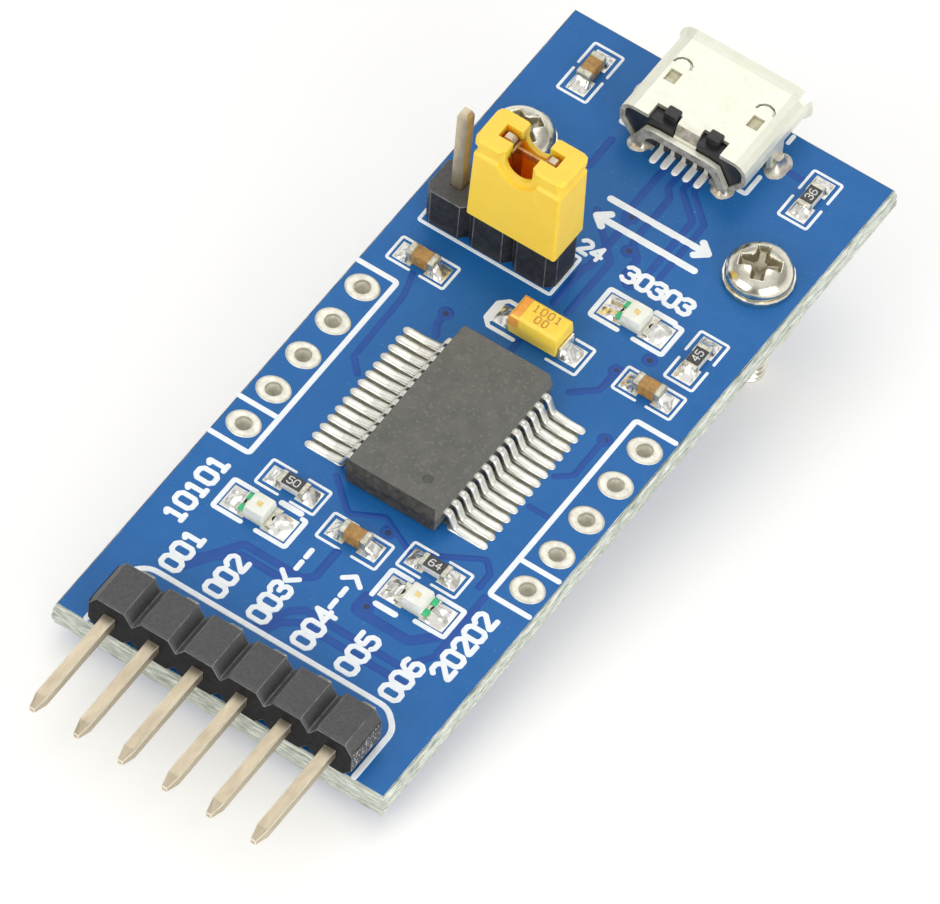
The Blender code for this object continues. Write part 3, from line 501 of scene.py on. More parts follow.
# Corners round the larger parts, and a thick bar where a part's polarity matters
corners_and_bars = (
    (0.23, [(2.75, 8.98), (1.54, 8.98), (1.54, 7.09), (3.14, 7.09)]),
    (0.23, [(4.08, 7.09), (5.73, 7.09), (5.73, 8.98), (5.3, 8.98)]),
    (0.3, [(4.15, 9.08), (5.2, 9.08)]),
    (0.23, [(-5.45, -11.26), (-6.72, -11.26), (-6.72, -13.16), (-5.1, -13.16)]),
    (0.23, [(-4.2, -13.16), (-2.53, -13.16), (-2.53, -11.3), (-2.75, -11.3)]),
    (0.3, [(-4.1, -11.08), (-3.0, -11.08)]),
    (0.23, [(3.5, -11.16), (2.39, -11.16), (2.39, -12.95)]),
    (0.23, [(5.05, -11.16), (6.57, -11.16), (6.57, -13.02), (4.95, -13.02)]),
    (0.3, [(2.85, -13.28), (3.95, -13.28)]),
    (0.2, [(-0.6, 3.57), (-2.05, 3.57), (-2.43, 3.95), (-2.43, 5.0), (-2.0, 5.42), (-1.6, 5.42)]),
    (0.3, [(-2.22, 3.95), (-2.22, 5.05)]),
    (0.13, [(1.35, 3.57), (3.0, 3.57), (3.0, 5.42), (1.9, 5.42)]),
    (0.22, [(3.25, 17.72), (3.65, 17.72), (3.65, 19.0)]),
    (0.22, [(-3.75, 18.05), (-3.75, 17.8), (-3.3, 17.8)]),
    (0.2, [(3.62, 21.6), (3.62, 22.1)]),
)
for width, path in corners_and_bars:
    ink_line(path, width)

dash_width, arrow_width = 0.24, 0.36
for x, tip, way in ((-1.37, -14.72, -1), (1.22, -12.55, 1)):
    for side in (-1, 1):
        ink_line([(x + side * 0.5, tip - way * 0.42), (x, tip)], dash_width)
    for near, far in ((0.85, 1.35), (1.7, 2.2)):
        ink_line([(x, tip - way * near), (x, tip - way * far)], dash_width)
for y, tail, tip, way in ((13.55, -1.5, 4.2, 1), (12.3, 4.2, -1.5, -1)):
    ink_line([(tail, y), (tip, y)], arrow_width)
    for side in (1, -1):
        ink_line([(tip - way * 0.55, y + side * 0.45), (tip, y)], arrow_width)

# Plain numbers are drawn with one stroke width on a grid four wide and six high
digit_width, digit_height, digit_step = 4, 6, 5.4
strokes = {
    "0": [[(2, 0), (3, 0), (4, 1), (4, 5), (3, 6), (1, 6), (0, 5), (0, 1), (1, 0), (2, 0)]],
    "1": [[(0.8, 5), (2, 6), (2, 0)], [(0.8, 0), (3.2, 0)]],
    "2": [[(0, 5), (1, 6), (3, 6), (4, 5), (4, 4), (0, 0.1), (4, 0)]],
    "3": [
        [(0, 5.2), (1, 6), (3, 6), (4, 5), (4, 4.2), (3, 3.2), (1.6, 3.2)],
        [(3, 3.1), (4, 2), (4, 1), (3, 0), (1, 0), (0, 0.8)],
    ],
    "4": [[(3, 0), (3, 6)], [(3, 6), (0, 2)], [(0, 2), (4, 2)]],
    "5": [[(3.8, 6), (0.3, 6), (0.2, 3.4), (3, 3.5), (4, 2.5), (4, 1), (3, 0), (1, 0), (0, 0.8)]],
    "6": [[(3.7, 5.6), (2.4, 6), (1, 5.6), (0, 4), (0, 1), (1, 0), (3, 0), (4, 1), (4, 2.3), (3, 3.3), (0.4, 3.1)]],
}


def ink_number(text, start, height, width, upright=False):
    """A plain number that starts at a point. upright runs it up along Y, with its top towards -X."""
    unit = height / digit_height
    for k, digit in enumerate(text):
        for stroke in strokes[digit]:
            points = [((u + digit_step * k) * unit, v * unit) for u, v in stroke]
            if upright:
                points = [(-v, u) for u, v in points]
            ink_line([(start[0] + u, start[1] + v) for u, v in points], width, corner=unit * 0.5)


upright_numbers = [(f"00{k + 1}", (x + 0.5, -17.45)) for k, x in enumerate(header_xs)]
upright_numbers += [("10101", (-7.42, -14.95)), ("20202", (8.15, -15.0))]
for number, at in upright_numbers:
    ink_number(number, at, 1.0, 0.25, upright=True)
ink_number("30303", (1.55, 9.78), 0.9, 0.23)
ink_number("24", (-1.15, 9.95), 0.8, 0.2)
place("white_printing", ink_shape, ink, slot="board_blue", crease=30)


# Solder lands under the chip's leads: long tinned strips that reach far past the feet, each with a low ridge
# of solder that ran along it in the oven. Between them lies a dark sheet: painted shade between the leads.

solder = finish(
    "reflowed_solder", (0.8, 0.78, 0.7), (1.0, 0.99, 0.95), 0.7, (0.17, 0.29), 0.0012, contrast=0.5, Metallic=0.9
)
chip_low, chip_high = box_of("interface_chip")
chip_x = (chip_low.x + chip_high.x) / 2
chip_y = (chip_low.y + chip_high.y) / 2
lead_pitch = 0.65
lead_ys = [chip_y + (k - 6.5) * lead_pitch for k in range(14)]


def ridge(shape, start, end, width, height):
    """A low rounded bar of solder between two points, thinner towards its ends."""
    start, end = Vector(start), Vector(end)
    way = (end - start).normalized()
    side = Vector((-way.y, way.x))
    length = (end - start).length
    rows = []
    for k in range(13):
        t = k / 12
        along = length * (0.5 - 0.5 * math.cos(math.pi * t))
        near = min(along, length - along)
        rounding = max(0.0, 1 - near / (width / 2))
        half = max(width / 2 * math.sqrt(max(0.0, 1 - rounding**2)), 0.01)
        row = []
        for j in range(9):
            a = math.pi * j / 8
            p = start + way * along + side * half * math.cos(a)
            swell = 1 + uneven((p.x, p.y, 3), 0.8, 0.25)
            rise = height * math.sin(a) ** 0.6 * swell * min(1, 0.25 + near / width)
            row.append((p.x, p.y, mask_top - 0.01 + rise))
        rows.append(row)
    skin(shape, rows, closed=False, caps=False)


# A dark sheet between the chip's lands: painted shade between its leads.
lead_gap_painted_shade = finish(
    "lead_gap_painted_shade", (0.07, 0.075, 0.055), (0.19, 0.19, 0.145), 0.25, (0.5, 0.7), 0.004, contrast=0.4
)
smooth_tin = finish(
    "smooth_tin", (0.74, 0.72, 0.64), (0.93, 0.92, 0.86), 0.5, (0.3, 0.42), 0.002, contrast=0.6, Metallic=0.85
)
land_shape = bmesh.new()
land_middle = 0.045
for side in (-1, 1):
    for y in lead_ys:
        start, end = (land_middle + side * 3.0, y), (land_middle + side * 5.3, y)
        ridge(land_shape, start, end, width=0.46, height=0.12)
place("chip_solder_lands", land_shape, smooth_tin, slot="tin", crease=80)
# The dark sheet lies over the mask between the lands: painted shade.
lead_gap_shape = bmesh.new()
for side in (-1, 1):
    near_x, far_x = land_middle + side * 2.75, land_middle + side * 5.1
    rows = []
    for z, inset in ((mask_top - 0.01, 0.0), (mask_top + 0.006, 0.0), (mask_top + 0.008, 0.02)):
        near, far = near_x + side * inset, far_x - side * inset
        first, last = lead_ys[0] + inset, lead_ys[-1] - inset
        rows.append([(near, first, z), (far, first, z), (far, last, z), (near, last, z)])
    skin(lead_gap_shape, rows)
place("chip_lead_gap_shade", lead_gap_shape, lead_gap_painted_shade, slot="board_blue")


# Interface chip: a black epoxy body moulded round its lead frame, matt from the mould, with a parting line half
# way up, and 28 tinned leads bent down and out to their feet.

resin = finish(
    "chip_resin", (0.105, 0.108, 0.097), (0.162, 0.156, 0.137), 0.8, (0.6, 0.8), 0.008, contrast=0.7,
    specks=((0.172, 0.166, 0.148), 0.17, 0.6),
    Specular_IOR_Level=0.35,
)
# Faces of the chip body that look towards -Y or down get this darker copy of the resin: painted shade on its end.
painted_shade_resin = finish(
    "chip_resin_painted_shade", (0.036, 0.036, 0.034), (0.08, 0.075, 0.068), 0.35, (0.6, 0.8), 0.008, Specular_IOR_Level=0.25
)
chip_width, chip_length = 5.3, 10.2
chip_bottom, chip_parting, chip_top = 1.73, 2.69, chip_high.z


def box_section(width, depth, z, middle, radius, steps=4):
    """Level section of a moulded block with rounded corners."""
    corners = [(1, 1, 0), (-1, 1, 90), (-1, -1, 180), (1, -1, 270)]
    points = []
    for sx, sy, first in corners:
        cx, cy = middle[0] + sx * (width / 2 - radius), middle[1] + sy * (depth / 2 - radius)
        for k in range(steps + 1):
            a = math.radians(first + 90 * k / steps)
            points.append((cx + radius * math.cos(a), cy + radius * math.sin(a), z))
    return points


def dished_top(shape, rim, middle, radius, depth, z):
    """Closes a level rim with a face that has a round dimple in it."""
    ring = [shape.verts.new((*p, z)) for p in circle(middle, radius, 24)]
    low = [shape.verts.new((*p, z - depth)) for p in circle(middle, radius * 0.86, 24)]
    for i in range(24):
        shape.faces.new((ring[i - 1], ring[i], low[i], low[i - 1]))
    shape.faces.new(low)
    border = [shape.edges.get((rim[i - 1], rim[i])) for i in range(len(rim))]
    border += [shape.edges.get((ring[i - 1], ring[i])) for i in range(24)]
    bmesh.ops.triangle_fill(shape, use_beauty=True, edges=border)


chip_shape = bmesh.new()
chip_middle = (chip_x, chip_y)
dot_middle = (chip_x + 1.2, chip_y - 3.65)
chip_steps = (
    (chip_bottom, -0.26, 0.1),
    (chip_bottom + 0.06, -0.16, 0.12),
    (chip_parting - 0.03, -0.01, 0.14),
    (chip_parting, 0.02, 0.14),
    (chip_parting + 0.03, -0.01, 0.14),
    (chip_top - 0.1, -0.2, 0.14),
    (chip_top - 0.04, -0.25, 0.16),
    (chip_top, -0.36, 0.18),
)
chip_rows = [box_section(chip_width + g, chip_length + g, z, chip_middle, r) for z, g, r in chip_steps]
made = skin(chip_shape, chip_rows, caps=False)
chip_shape.faces.new(made[0])
dished_top(chip_shape, made[-1], dot_middle, 0.31, 0.03, chip_top)
chip_body = place("chip_body", chip_shape, resin, slot="chip_resin", stands_for=("interface_chip",), crease=28)
# Painted shade: the end towards -Y and the underside take the darker copy.
refinish(chip_body, painted_shade_resin, lambda face: face.normal.y < -0.6 or face.normal.z < -0.2)

polished_resin = finish("polished_resin", (0.045, 0.045, 0.046), (0.075, 0.074, 0.07), 0.2, (0.3, 0.4), 0.001)
dot_rows = [[(*p, chip_top - 0.03 + z) for p in circle(dot_middle, r, 24)] for r, z in ((0.265, 0.0), (0.24, 0.008))]
loft("chip_dot", dot_rows, polished_resin, slot="chip_resin", crease=40)

lead_finish = finish(
    "tinned_lead", (0.72, 0.7, 0.62), (0.93, 0.92, 0.85), 0.3, (0.28, 0.42), 0.003, contrast=0.6, Metallic=0.85
)


def bent_strip(shape, path, width, thickness, at):
    """A strip bent along a path of (x, z) points, at a place along Y."""
    wide, thick = width / 2, thickness / 2
    cut = 0.25 * thickness
    ring = [(cut - wide, -thick), (wide - cut, -thick), (wide, cut - thick), (wide, thick - cut)]
    ring += [(wide - cut, thick), (cut - wide, thick), (-wide, thick - cut), (-wide, cut - thick)]
    rows = []
    count = len(path)
    for i, here in enumerate(path):
        here = Vector(here)
        before = (here - Vector(path[i - 1])).normalized() if i else (Vector(path[1]) - here).normalized()
        after = (Vector(path[i + 1]) - here).normalized() if i + 1 < count else before
        way = (before + after).normalized()
        normal = Vector((-way.y, way.x))
        row = []
        for across, t in ring:
            p = here + normal * t
            row.append((p.x, at + across, p.y))
        rows.append(row)
    skin(shape, rows)


lead_width, lead_thickness, lead_bend = 0.4, 0.17, 0.27
lead_path = [(2.5, chip_parting), (2.92, chip_parting), (3.28, 1.8), (4.15, 1.672)]
leads = bmesh.new()
for side in (-1, 1):
    path = rounded([(chip_x + side * u, z) for u, z in lead_path], lead_bend, steps=6)
    for y in lead_ys:
        bent_strip(leads, path, lead_width, lead_thickness, y)
place("chip_leads", leads, lead_finish, slot="tin", crease=50)


# Solder joints of the small parts: a bright fillet that climbs each plated end and runs out over its land, with
# the creases and pits that solder sets with.


joint_base = mask_top + 0.015


def joint(shape, middle, way, width, reach, height, seed):
    """Fillet against an end face at middle: highest there, and falling in a hollow curve over the land."""
    side = Vector((-way.y, way.x))
    rows = []
    steps = 14
    for i in range(steps + 1):
        u = i / steps
        row = []
        for j in range(steps + 1):
            v = 2 * j / steps - 1
            pinch = 1 - 0.16 * max(0.0, u - 0.75) / 0.25
            p = middle + way * reach * (u - 0.08) + side * (width / 2) * v * pinch
            rise = height * (1 - u) ** 2.2 * (1 - 0.35 * v * v) + 0.1 * (1 - v**4) * (1 - u**6)
            lumps = uneven((p.x, p.y, seed), 0.42, 0.16) + uneven((p.x, p.y, seed + 9), 0.2, 0.05)
            edge = (1 - abs(v) ** 6) * (1 - u**8)
            row.append((p.x, p.y, joint_base + max(0.004, rise + lumps * 0.7) * edge))
        rows.append(row)
    skin(shape, rows, closed=False, caps=False)


def land(shape, middle, way, near, far, width):
    """Flat tinned land on the board, from near to far along a way from a part's middle."""
    side = Vector((-way.y, way.x))
    rows = []
    for inset, z in ((0.0, mask_top - 0.01), (0.0, mask_top + 0.012), (0.02, mask_top + 0.022)):
        loop = []
        for u, v in ((near + inset, -1), (far - inset, -1), (far - inset, 1), (near + inset, 1)):
            p = middle + way * u + side * v * (width / 2 - inset)
            loop.append((p.x, p.y, z))
        rows.append(loop)
    skin(shape, rows)


def long_way(low, high):
    """The axis that a chip part lies along."""
    return "Y" if high.y - low.y > high.x - low.x else "X"


# Each part, with its lands' near end, far end and width, how far out its joints stand, their width, reach and
# height, and a number that makes their lumps differ
chip_land, chip_out = (0.4, 1.46, 1.1), 0.78
soldered = [(f"capacitor_{k}", chip_land, chip_out, (1.04, 0.72, 0.5), 3.7 * (k - 1)) for k in (1, 2, 3, 4)]
soldered += [(f"resistor_{k}", chip_land, chip_out, (1.04, 0.72, 0.34), 3.7 * (k + 3)) for k in (1, 2, 3, 4)]
soldered += [(f"led_base_{k}", (0.5, 1.88, 1.42), 0.95, (1.36, 0.97, 0.24), 40 + 5.1 * k) for k in (1, 2, 3)]
soldered += [("tantalum_body", (1.0, 2.46, 1.2), 1.62, (1.15, 0.86, 0.4), 70)]
joints, lands_below = bmesh.new(), bmesh.new()
for node, land_sizes, out, joint_sizes, seed in soldered:
    low, high = box_of(node)
    middle = ((low + high) / 2).xy
    for sign in (-1, 1):
        way = Vector((sign, 0) if long_way(low, high) == "X" else (0, sign))
        land(lands_below, middle, way, *land_sizes)
        joint(joints, middle + way * out, way, *joint_sizes, seed + sign)
place("part_lands", lands_below, smooth_tin, slot="tin", crease=40)
place("part_solder_joints", joints, solder, slot="tin", crease=80)


# Ceramic capacitors: a fired brown brick with its ends dipped in silver and plated. The plating wraps round onto
# the faces and is a little thicker at the middle of the end.

ceramic = finish("fired_ceramic", (0.23, 0.11, 0.022), (0.55, 0.31, 0.08), 0.3, (0.35, 0.5), 0.004, contrast=0.5)
plated_end = finish(
    "plated_end", (0.36, 0.34, 0.26), (0.75, 0.73, 0.62), 0.28, (0.32, 0.5), 0.01, contrast=0.4, Metallic=0.9
)


def soft_box(low, high, edge, along="X"):
    """A block with rounded edges, as a loft along one axis: rows of a rounded section that shrink at both ends."""
    shape = bmesh.new()
    size = high - low
    middle = (low + high) / 2
    a, b, c = {"X": (1, 2, 0), "Y": (0, 2, 1), "Z": (0, 1, 2)}[along]
    rows = []
    turns = [math.radians(90 * k / 3) for k in range(4)]
    stations = [(-size[c] / 2 + edge * (1 - math.cos(t)), edge * (1 - math.sin(t))) for t in turns]
    stations += [(-u, inset) for u, inset in stations[::-1]]
    for u, inset in stations:
        row = []
        radius = max(edge - inset * 0.6, 0.01)
        for p in box_section(size[a] - 2 * inset, size[b] - 2 * inset, 0.0, (middle[a], middle[b]), radius, 3):
            point = [0.0, 0.0, 0.0]
            point[a], point[b], point[c] = p[0], p[1], middle[c] + u
            row.append(point)
        rows.append(row)
    skin(shape, rows)
    return shape


def brick(name, node, body_finish, slot, end_length, wrap, edge):
    """A chip part: its body, and two plated ends that wrap round it."""
    low, high = box_of(node)
    along = long_way(low, high)
    axis = 1 if along == "Y" else 0
    inner_low, inner_high = low.copy(), high.copy()
    for k in range(3):
        grow = 0.05 if k == axis else wrap
        inner_low[k] += grow
        inner_high[k] -= grow
    body = soft_box(inner_low, inner_high, edge * 0.7, along)
    place(f"{name}_body", body, body_finish, slot=slot, stands_for=(node,), crease=45)
    for which, sign in (("a", -1), ("b", 1)):
        end_low, end_high = low.copy(), high.copy()
        if sign < 0:
            end_high[axis] = low[axis] + end_length
        else:
            end_low[axis] = high[axis] - end_length
        place(f"{name}_end_{which}", soft_box(end_low, end_high, edge, along), plated_end, slot="tin", crease=60)


for k in (1, 2, 3, 4):
    brick(f"ceramic_{k}", f"capacitor_{k}", ceramic, "ceramic_brown", end_length=0.36, wrap=0.025, edge=0.07)


# Chip resistors: a thin white alumina tile. The element on top is sealed under black glass, which carries a
# plain number, and the plated ends wrap round the short sides.

alumina = finish("white_alumina", (0.6, 0.59, 0.54), (0.75, 0.74, 0.7), 0.2, (0.5, 0.7), 0.004)
black_glass = finish("black_glass", (0.02, 0.02, 0.022), (0.045, 0.045, 0.048), 0.2, (0.25, 0.4), 0.004)
number_ink = finish("number_ink", (0.55, 0.55, 0.52), (0.75, 0.75, 0.72), 0.1, (0.5, 0.6), 0.001)
unit = 0.4 / digit_height
span = (digit_step + digit_width) * unit
for k, value in enumerate(("36", "45", "50", "64"), 1):
    brick(f"resistor_tile_{k}", f"resistor_{k}", alumina, "resistor_black", end_length=0.3, wrap=0.02, edge=0.04)
    low, high = box_of(f"resistor_{k}")
    middle = (low + high) / 2
    upright = long_way(low, high) == "Y"
    half = Vector((0.36, 0.52) if upright else (0.52, 0.36))
    glass_low = Vector((middle.x - half.x, middle.y - half.y, high.z - 0.05))
    glass_high = Vector((middle.x + half.x, middle.y + half.y, high.z + 0.015))
    glass = soft_box(glass_low, glass_high, 0.025, "Z")
    place(f"resistor_glass_{k}", glass, black_glass, slot="resistor_black", crease=50)
    number = bmesh.new()
    for n, digit in enumerate(value):
        for m, stroke in enumerate(strokes[digit]):
            points = [((u + digit_step * n) * unit - span / 2, v * unit - 0.2) for u, v in stroke]
            if upright:
                points = [(-v, u) for u, v in points]
            path = rounded([(middle.x + u, middle.y + v) for u, v in points], unit * 0.5)
            top = glass_high.z + 0.004 + 0.0005 * m
            printed_line(number, path, 0.055, glass_high.z - 0.002, top, slope=0.004)
    place(f"resistor_number_{k}", number, number_ink, slot="resistor_black")


# Tantalum capacitor: golden epoxy moulded round the pellet, with chamfered upper edges, an orange band at its
# positive end, plain marks on top, and two tinned straps that fold under it.

tantalum_resin = finish("golden_epoxy", (0.94, 0.62, 0.05), (1.0, 0.76, 0.11), 0.35, (0.32, 0.5), 0.008, contrast=0.7)
band_orange = finish("orange_band", (0.85, 0.32, 0.05), (0.93, 0.42, 0.09), 0.3, (0.4, 0.5), 0.004)
mark_brown = finish("brown_marks", (0.5, 0.22, 0.04), (0.62, 0.3, 0.07), 0.15, (0.5, 0.6), 0.002)
low, high = box_of("tantalum_body")
middle = (low + high) / 2
size = high - low
tantalum_steps = (
    (low.z, -0.14, 0.06),
    (low.z + 0.03, -0.1, 0.07),
    (low.z + 0.62, 0.0, 0.07),
    (low.z + 0.66, 0.0, 0.07),
    (high.z - 0.17, -0.1, 0.07),
    (high.z - 0.13, -0.14, 0.08),
    (high.z - 0.02, -0.36, 0.09),
    (high.z, -0.42, 0.09),
)
rows = [box_section(size.x + g, size.y + g, z, (middle.x, middle.y), r, 3) for z, g, r in tantalum_steps]
loft(
    "tantalum_moulding", rows, tantalum_resin, slot="tantalum_yellow", stands_for=("tantalum_body",), crease=25
)
band_lift = 0.006
band_x = middle.x - size.x / 2 + 0.62
band_steps = (
    (low.z + 0.66, 0.0, -band_lift),
    (high.z - 0.17, -0.1, -band_lift),
    (high.z - 0.02, -0.36, -band_lift),
    (high.z + band_lift, -0.36, 0.03),
)
rows = []
for z, g, inset in band_steps:
    x0 = middle.x - (size.x + g) / 2 + inset
    y0, y1 = middle.y - (size.y + g) / 2 + inset, middle.y + (size.y + g) / 2 - inset
    rows.append([(band_x, y0, z), (x0, y0, z), (x0, y1, z), (band_x, y1, z)])
band = bmesh.new()
band.faces.new(skin(band, rows, closed=False, caps=False)[-1])
place("tantalum_band", band, band_orange, slot="tantalum_yellow", crease=25)
marks = bmesh.new()
unit = 0.42 / digit_height
for n, (digit, at) in enumerate((("1", 0.0), ("0", 0.42), ("0", 0.84), ("1", 1.26))):
    for m, stroke in enumerate(strokes[digit]):
        for line, y in ((0, 0.06), (1, -0.5)):
            if line and digit == "1":
                continue
            points = [(middle.x - 0.55 + at + u * unit * 0.9, middle.y + y + v * unit) for u, v in stroke]
            top = high.z + 0.004 + 0.0004 * (n + m)
            printed_line(marks, rounded(points, 0.02), 0.06, high.z - 0.002, top, slope=0.004)
place("tantalum_marks", marks, mark_brown, slot="tantalum_yellow")
for strap in ("tantalum_strap_left", "tantalum_strap_right"):
    coat(strap, lead_finish)


# Indicator lights: a small laminate with plated ends and green marks on it, and a block of clear resin moulded
# over the light and its wire.

led_laminate = finish("led_laminate", (0.62, 0.62, 0.5), (0.78, 0.78, 0.68), 0.3, (0.35, 0.55), 0.004)
led_resin = finish(
    "led_resin", (0.86, 0.88, 0.76), (0.96, 0.97, 0.9), 0.4, (0.12, 0.25), 0.004, Transmission_Weight=0.12, IOR=1.5
)
led_green = finish("led_green_mark", (0.03, 0.42, 0.14), (0.06, 0.6, 0.25), 0.2, (0.3, 0.5), 0.002)
led_die = finish("led_die", (0.7, 0.5, 0.15), (0.85, 0.7, 0.3), 0.1, (0.2, 0.4), 0.002)
notch = 0.25
notch_turns = [math.radians(d) for d in range(-80, 81, 20)]
base_inset = Vector((0.28, 0, 0))
end_near, end_far = 0.62, 1.0
lens_width, lens_depth = 1.2, 1.22
mark_out, mark_across = 0.7, 0.38
die_half = 0.16
for k, green_side in ((1, -1), (2, -1), (3, 1)):
    low, high = box_of(f"led_base_{k}")
    middle = (low + high) / 2
    base = soft_box(low + base_inset, high - base_inset, 0.03)
    place(f"light_{k}_laminate", base, led_laminate, slot="led_board", stands_for=(f"led_base_{k}",), crease=45)
    ends = bmesh.new()
    for sign in (-1, 1):
        inner_x, outer_x = middle.x + sign * end_near, middle.x + sign * end_far
        outline = [(inner_x, low.y + 0.01), (outer_x, low.y + 0.01)]
        for a in notch_turns:
            outline.append((outer_x - sign * notch * math.cos(a), middle.y + notch * math.sin(a)))
        outline += [(outer_x, high.y - 0.01), (inner_x, high.y - 0.01)]
        skin(ends, [[(*p, z) for p in outline] for z in (low.z + 0.005, high.z + 0.02)])
    place(f"light_{k}_ends", ends, plated_end, slot="tin", crease=40)
    lens_low, lens_high = box_of(f"led_lens_{k}")
    top = lens_high.z
    steps = ((lens_low.z, 0.0, 0.03), (top - 0.06, -0.1, 0.05), (top - 0.02, -0.14, 0.06), (top, -0.22, 0.07))
    rows = [box_section(lens_width + g, lens_depth + g * 0.5, z, middle.xy, r, 3) for z, g, r in steps]
    loft(f"light_{k}_lens", rows, led_resin, slot="led_resin", stands_for=(f"led_lens_{k}",), crease=30)
    green = bmesh.new()
    steps = ((low.z + 0.2, 0.42), (low.z + 0.36, 0.42), (low.z + 0.38, 0.38))
    for across in (-mark_across, mark_across):
        at = (middle.x + green_side * mark_out, middle.y + across)
        skin(green, [box_section(w, w, z, at, 0.05, 2) for z, w in steps])
    place(f"light_{k}_marks", green, led_green, slot="led_resin", crease=40)
    die_low = Vector((middle.x - die_half, middle.y - die_half, top - 0.09))
    die_high = Vector((middle.x + die_half, middle.y + die_half, top + 0.006))
    die = soft_box(die_low, die_high, 0.02, "Z")
    place(f"light_{k}_die", die, led_die, slot="led_resin", crease=40)


# Pin strips: the right-angle header's six blocks and the voltage selector's three, each row moulded as one strip
# of black nylon with cut corners where it is meant to snap. The ends where they were snapped off are torn.

header_plastic = finish(
    "header_plastic", (0.048, 0.048, 0.048), (0.086, 0.085, 0.085), 0.14, (0.45, 0.62), 0.012, contrast=0.5
)
# The strips' rounded edges get this lighter grey: scuffed plastic, and a painted highlight along each edge.
painted_edge_highlight_and_scuffs = finish("painted_edge_highlight_and_scuffs", (0.07, 0.07, 0.071), (0.2, 0.2, 0.2), 0.5, (0.5, 0.7), 0.004, contrast=0.3)
# Faces of the header strip that look straight towards -Y get this near-black copy of its plastic: painted shade on the
# front.
painted_shade_front = finish(
    "header_front_painted_shade", (0.008, 0.008, 0.009), (0.018, 0.018, 0.02), 0.3, (0.5, 0.7), 0.004, Specular_IOR_Level=0.15
)


def soften(made, edge, surface=None, angle=32):
    """Joins a piece's split corners and rounds its sharp edges. surface is another finish for the edges."""
    weld = made.modifiers.new("Weld", "WELD")
    weld.merge_threshold = 0.000001
    soft = made.modifiers.new("Soft edges", "BEVEL")
    soft.width = edge * MM
    soft.segments = 2
    soft.limit_method = "ANGLE"
    soft.angle_limit = math.radians(angle)
    if surface:
        made.data.materials.append(surface)
        soft.material = len(made.data.materials) - 1


def dress(node, surface, edge=0.03):
    """Gives a CAD solid its finish and soft edges."""
    soften(coat(node, surface), edge)


def dressed_copy(name, node, surface, edge, edge_surface=None, body="module"):
    """A piece with the CAD solid's own mesh, which stands for it so that single faces can have another finish."""
    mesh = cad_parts[node].data.copy()
    mesh.materials.clear()
    mesh.materials.append(surface)
    made = add_object(name, mesh)
    soften(made, edge, edge_surface)
    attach(made, body)
    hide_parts(node)
    return made


strip_low, strip_high = box_of("header_block")
groove = 0.66
block_outline = ((0.03, -groove), (0.47, 0.0), (2.07, 0.0), (2.51, -groove))
strip_outline = []
for k in range(6):
    start = strip_low.x + k * 2 * grid
    strip_outline += [(start + x, z) for x, z in block_outline]
strip_floor = [(x, strip_low.z - strip_high.z - z * 0.8) for x, z in strip_outline[::-1]]
strip_stations = ((0.0, 0.15), (0.03, 0.12), (0.14, 0.015), (0.18, 0.0), (2.44, 0.0), (2.5, 0.02), (2.54, 0.08))
rows = []
for y, drop in strip_stations:
    row = [(x, strip_low.y + y, strip_high.z + z - drop) for x, z in strip_outline]
    row += [(x, strip_low.y + y, strip_high.z + z + 0.3 * drop) for x, z in strip_floor]
    rows.append(row)
strip_edge = 0.045
strip_piece = loft(
    "header_strip", rows, header_plastic, slot="black_plastic", stands_for=("header_block",), crease=25
)
# Painted shade: the strip's faces towards -Y take the near-black copy.
refinish(strip_piece, painted_shade_front, lambda face: face.normal.y < -0.98)
# The rounded edges take the lighter grey: painted highlight, with scuffs.
soften(strip_piece, strip_edge, painted_edge_highlight_and_scuffs, 25)
# Faces of the selector strip that don't look up get this near-black copy of its plastic: painted shade on its sides.
selector_painted_shade_sides = finish(
    "selector_painted_shade_sides", (0.012, 0.012, 0.014), (0.03, 0.03, 0.034), 0.3, (0.4, 0.6), 0.01,
    specks=((0.15, 0.15, 0.15), 0.08, 0.72),
    Specular_IOR_Level=0.3,
)
selector_piece = dressed_copy(
    "selector_strip", "selector_block", header_plastic, strip_edge, painted_edge_highlight_and_scuffs
)
# Painted shade: the selector's faces that don't look up take the near-black copy.
refinish(selector_piece, selector_painted_shade_sides, lambda face: face.normal.z < 0.5)
snapped_plastic = finish(
    "snapped_plastic", (0.05, 0.05, 0.05), (0.12, 0.12, 0.118), 0.25, (0.5, 0.8), 0.02, contrast=0.4,
    specks=((0.5, 0.5, 0.48), 0.13, 0.58),
)
# Each snapped end: its strip, its side, how far it is sunk, and its margins along Y and Z
snapped_ends = (
    ("header_snapped_right", "header_block", 1, 0.02, 0.04, 0.6),
    ("header_snapped_left", "header_block", -1, 0.02, 0.04, 0.6),
    ("selector_snapped_left", "selector_block", -1, 0.0, 0.44, 0.04),
)
shares = [i / 18 for i in range(19)]
for name, node, side, sunk, margin_y, margin_z in snapped_ends:
    low, high = box_of(node)
    face = (high.x if side > 0 else low.x) - side * sunk
    rows = []
    for v in shares:
        row = []
        for w in shares:
            y = low.y + margin_y + (high.y - low.y - 2 * margin_y) * v
            z = low.z + margin_z + (high.z - low.z - 2 * margin_z) * w
            rim = min(1.0, 6 * min(v, w, 1 - v, 1 - w))
            out = -0.01 + rim * (0.035 + uneven((y, z, side), 0.3, 0.05) + uneven((y, z, side + 4), 0.11, 0.03))
            row.append((face + side * out, y, z))
        rows.append(row)
    loft(name, rows, snapped_plastic, closed=False, caps=False, slot="black_plastic", crease=180)


# Pins: square brass wire with a flash of gold, pressed through the strips, with blunt tips. The header's six are
# bent down into the board, and the selector's three stand upright.

pin_gold = finish(
    "pin_gold", (0.44, 0.37, 0.26), (0.66, 0.57, 0.42), 0.5, (0.34, 0.48), 0.004, stretch=(1, 0.25, 0.6), contrast=0.6,
    Metallic=0.85,
)
pin_width = 0.64
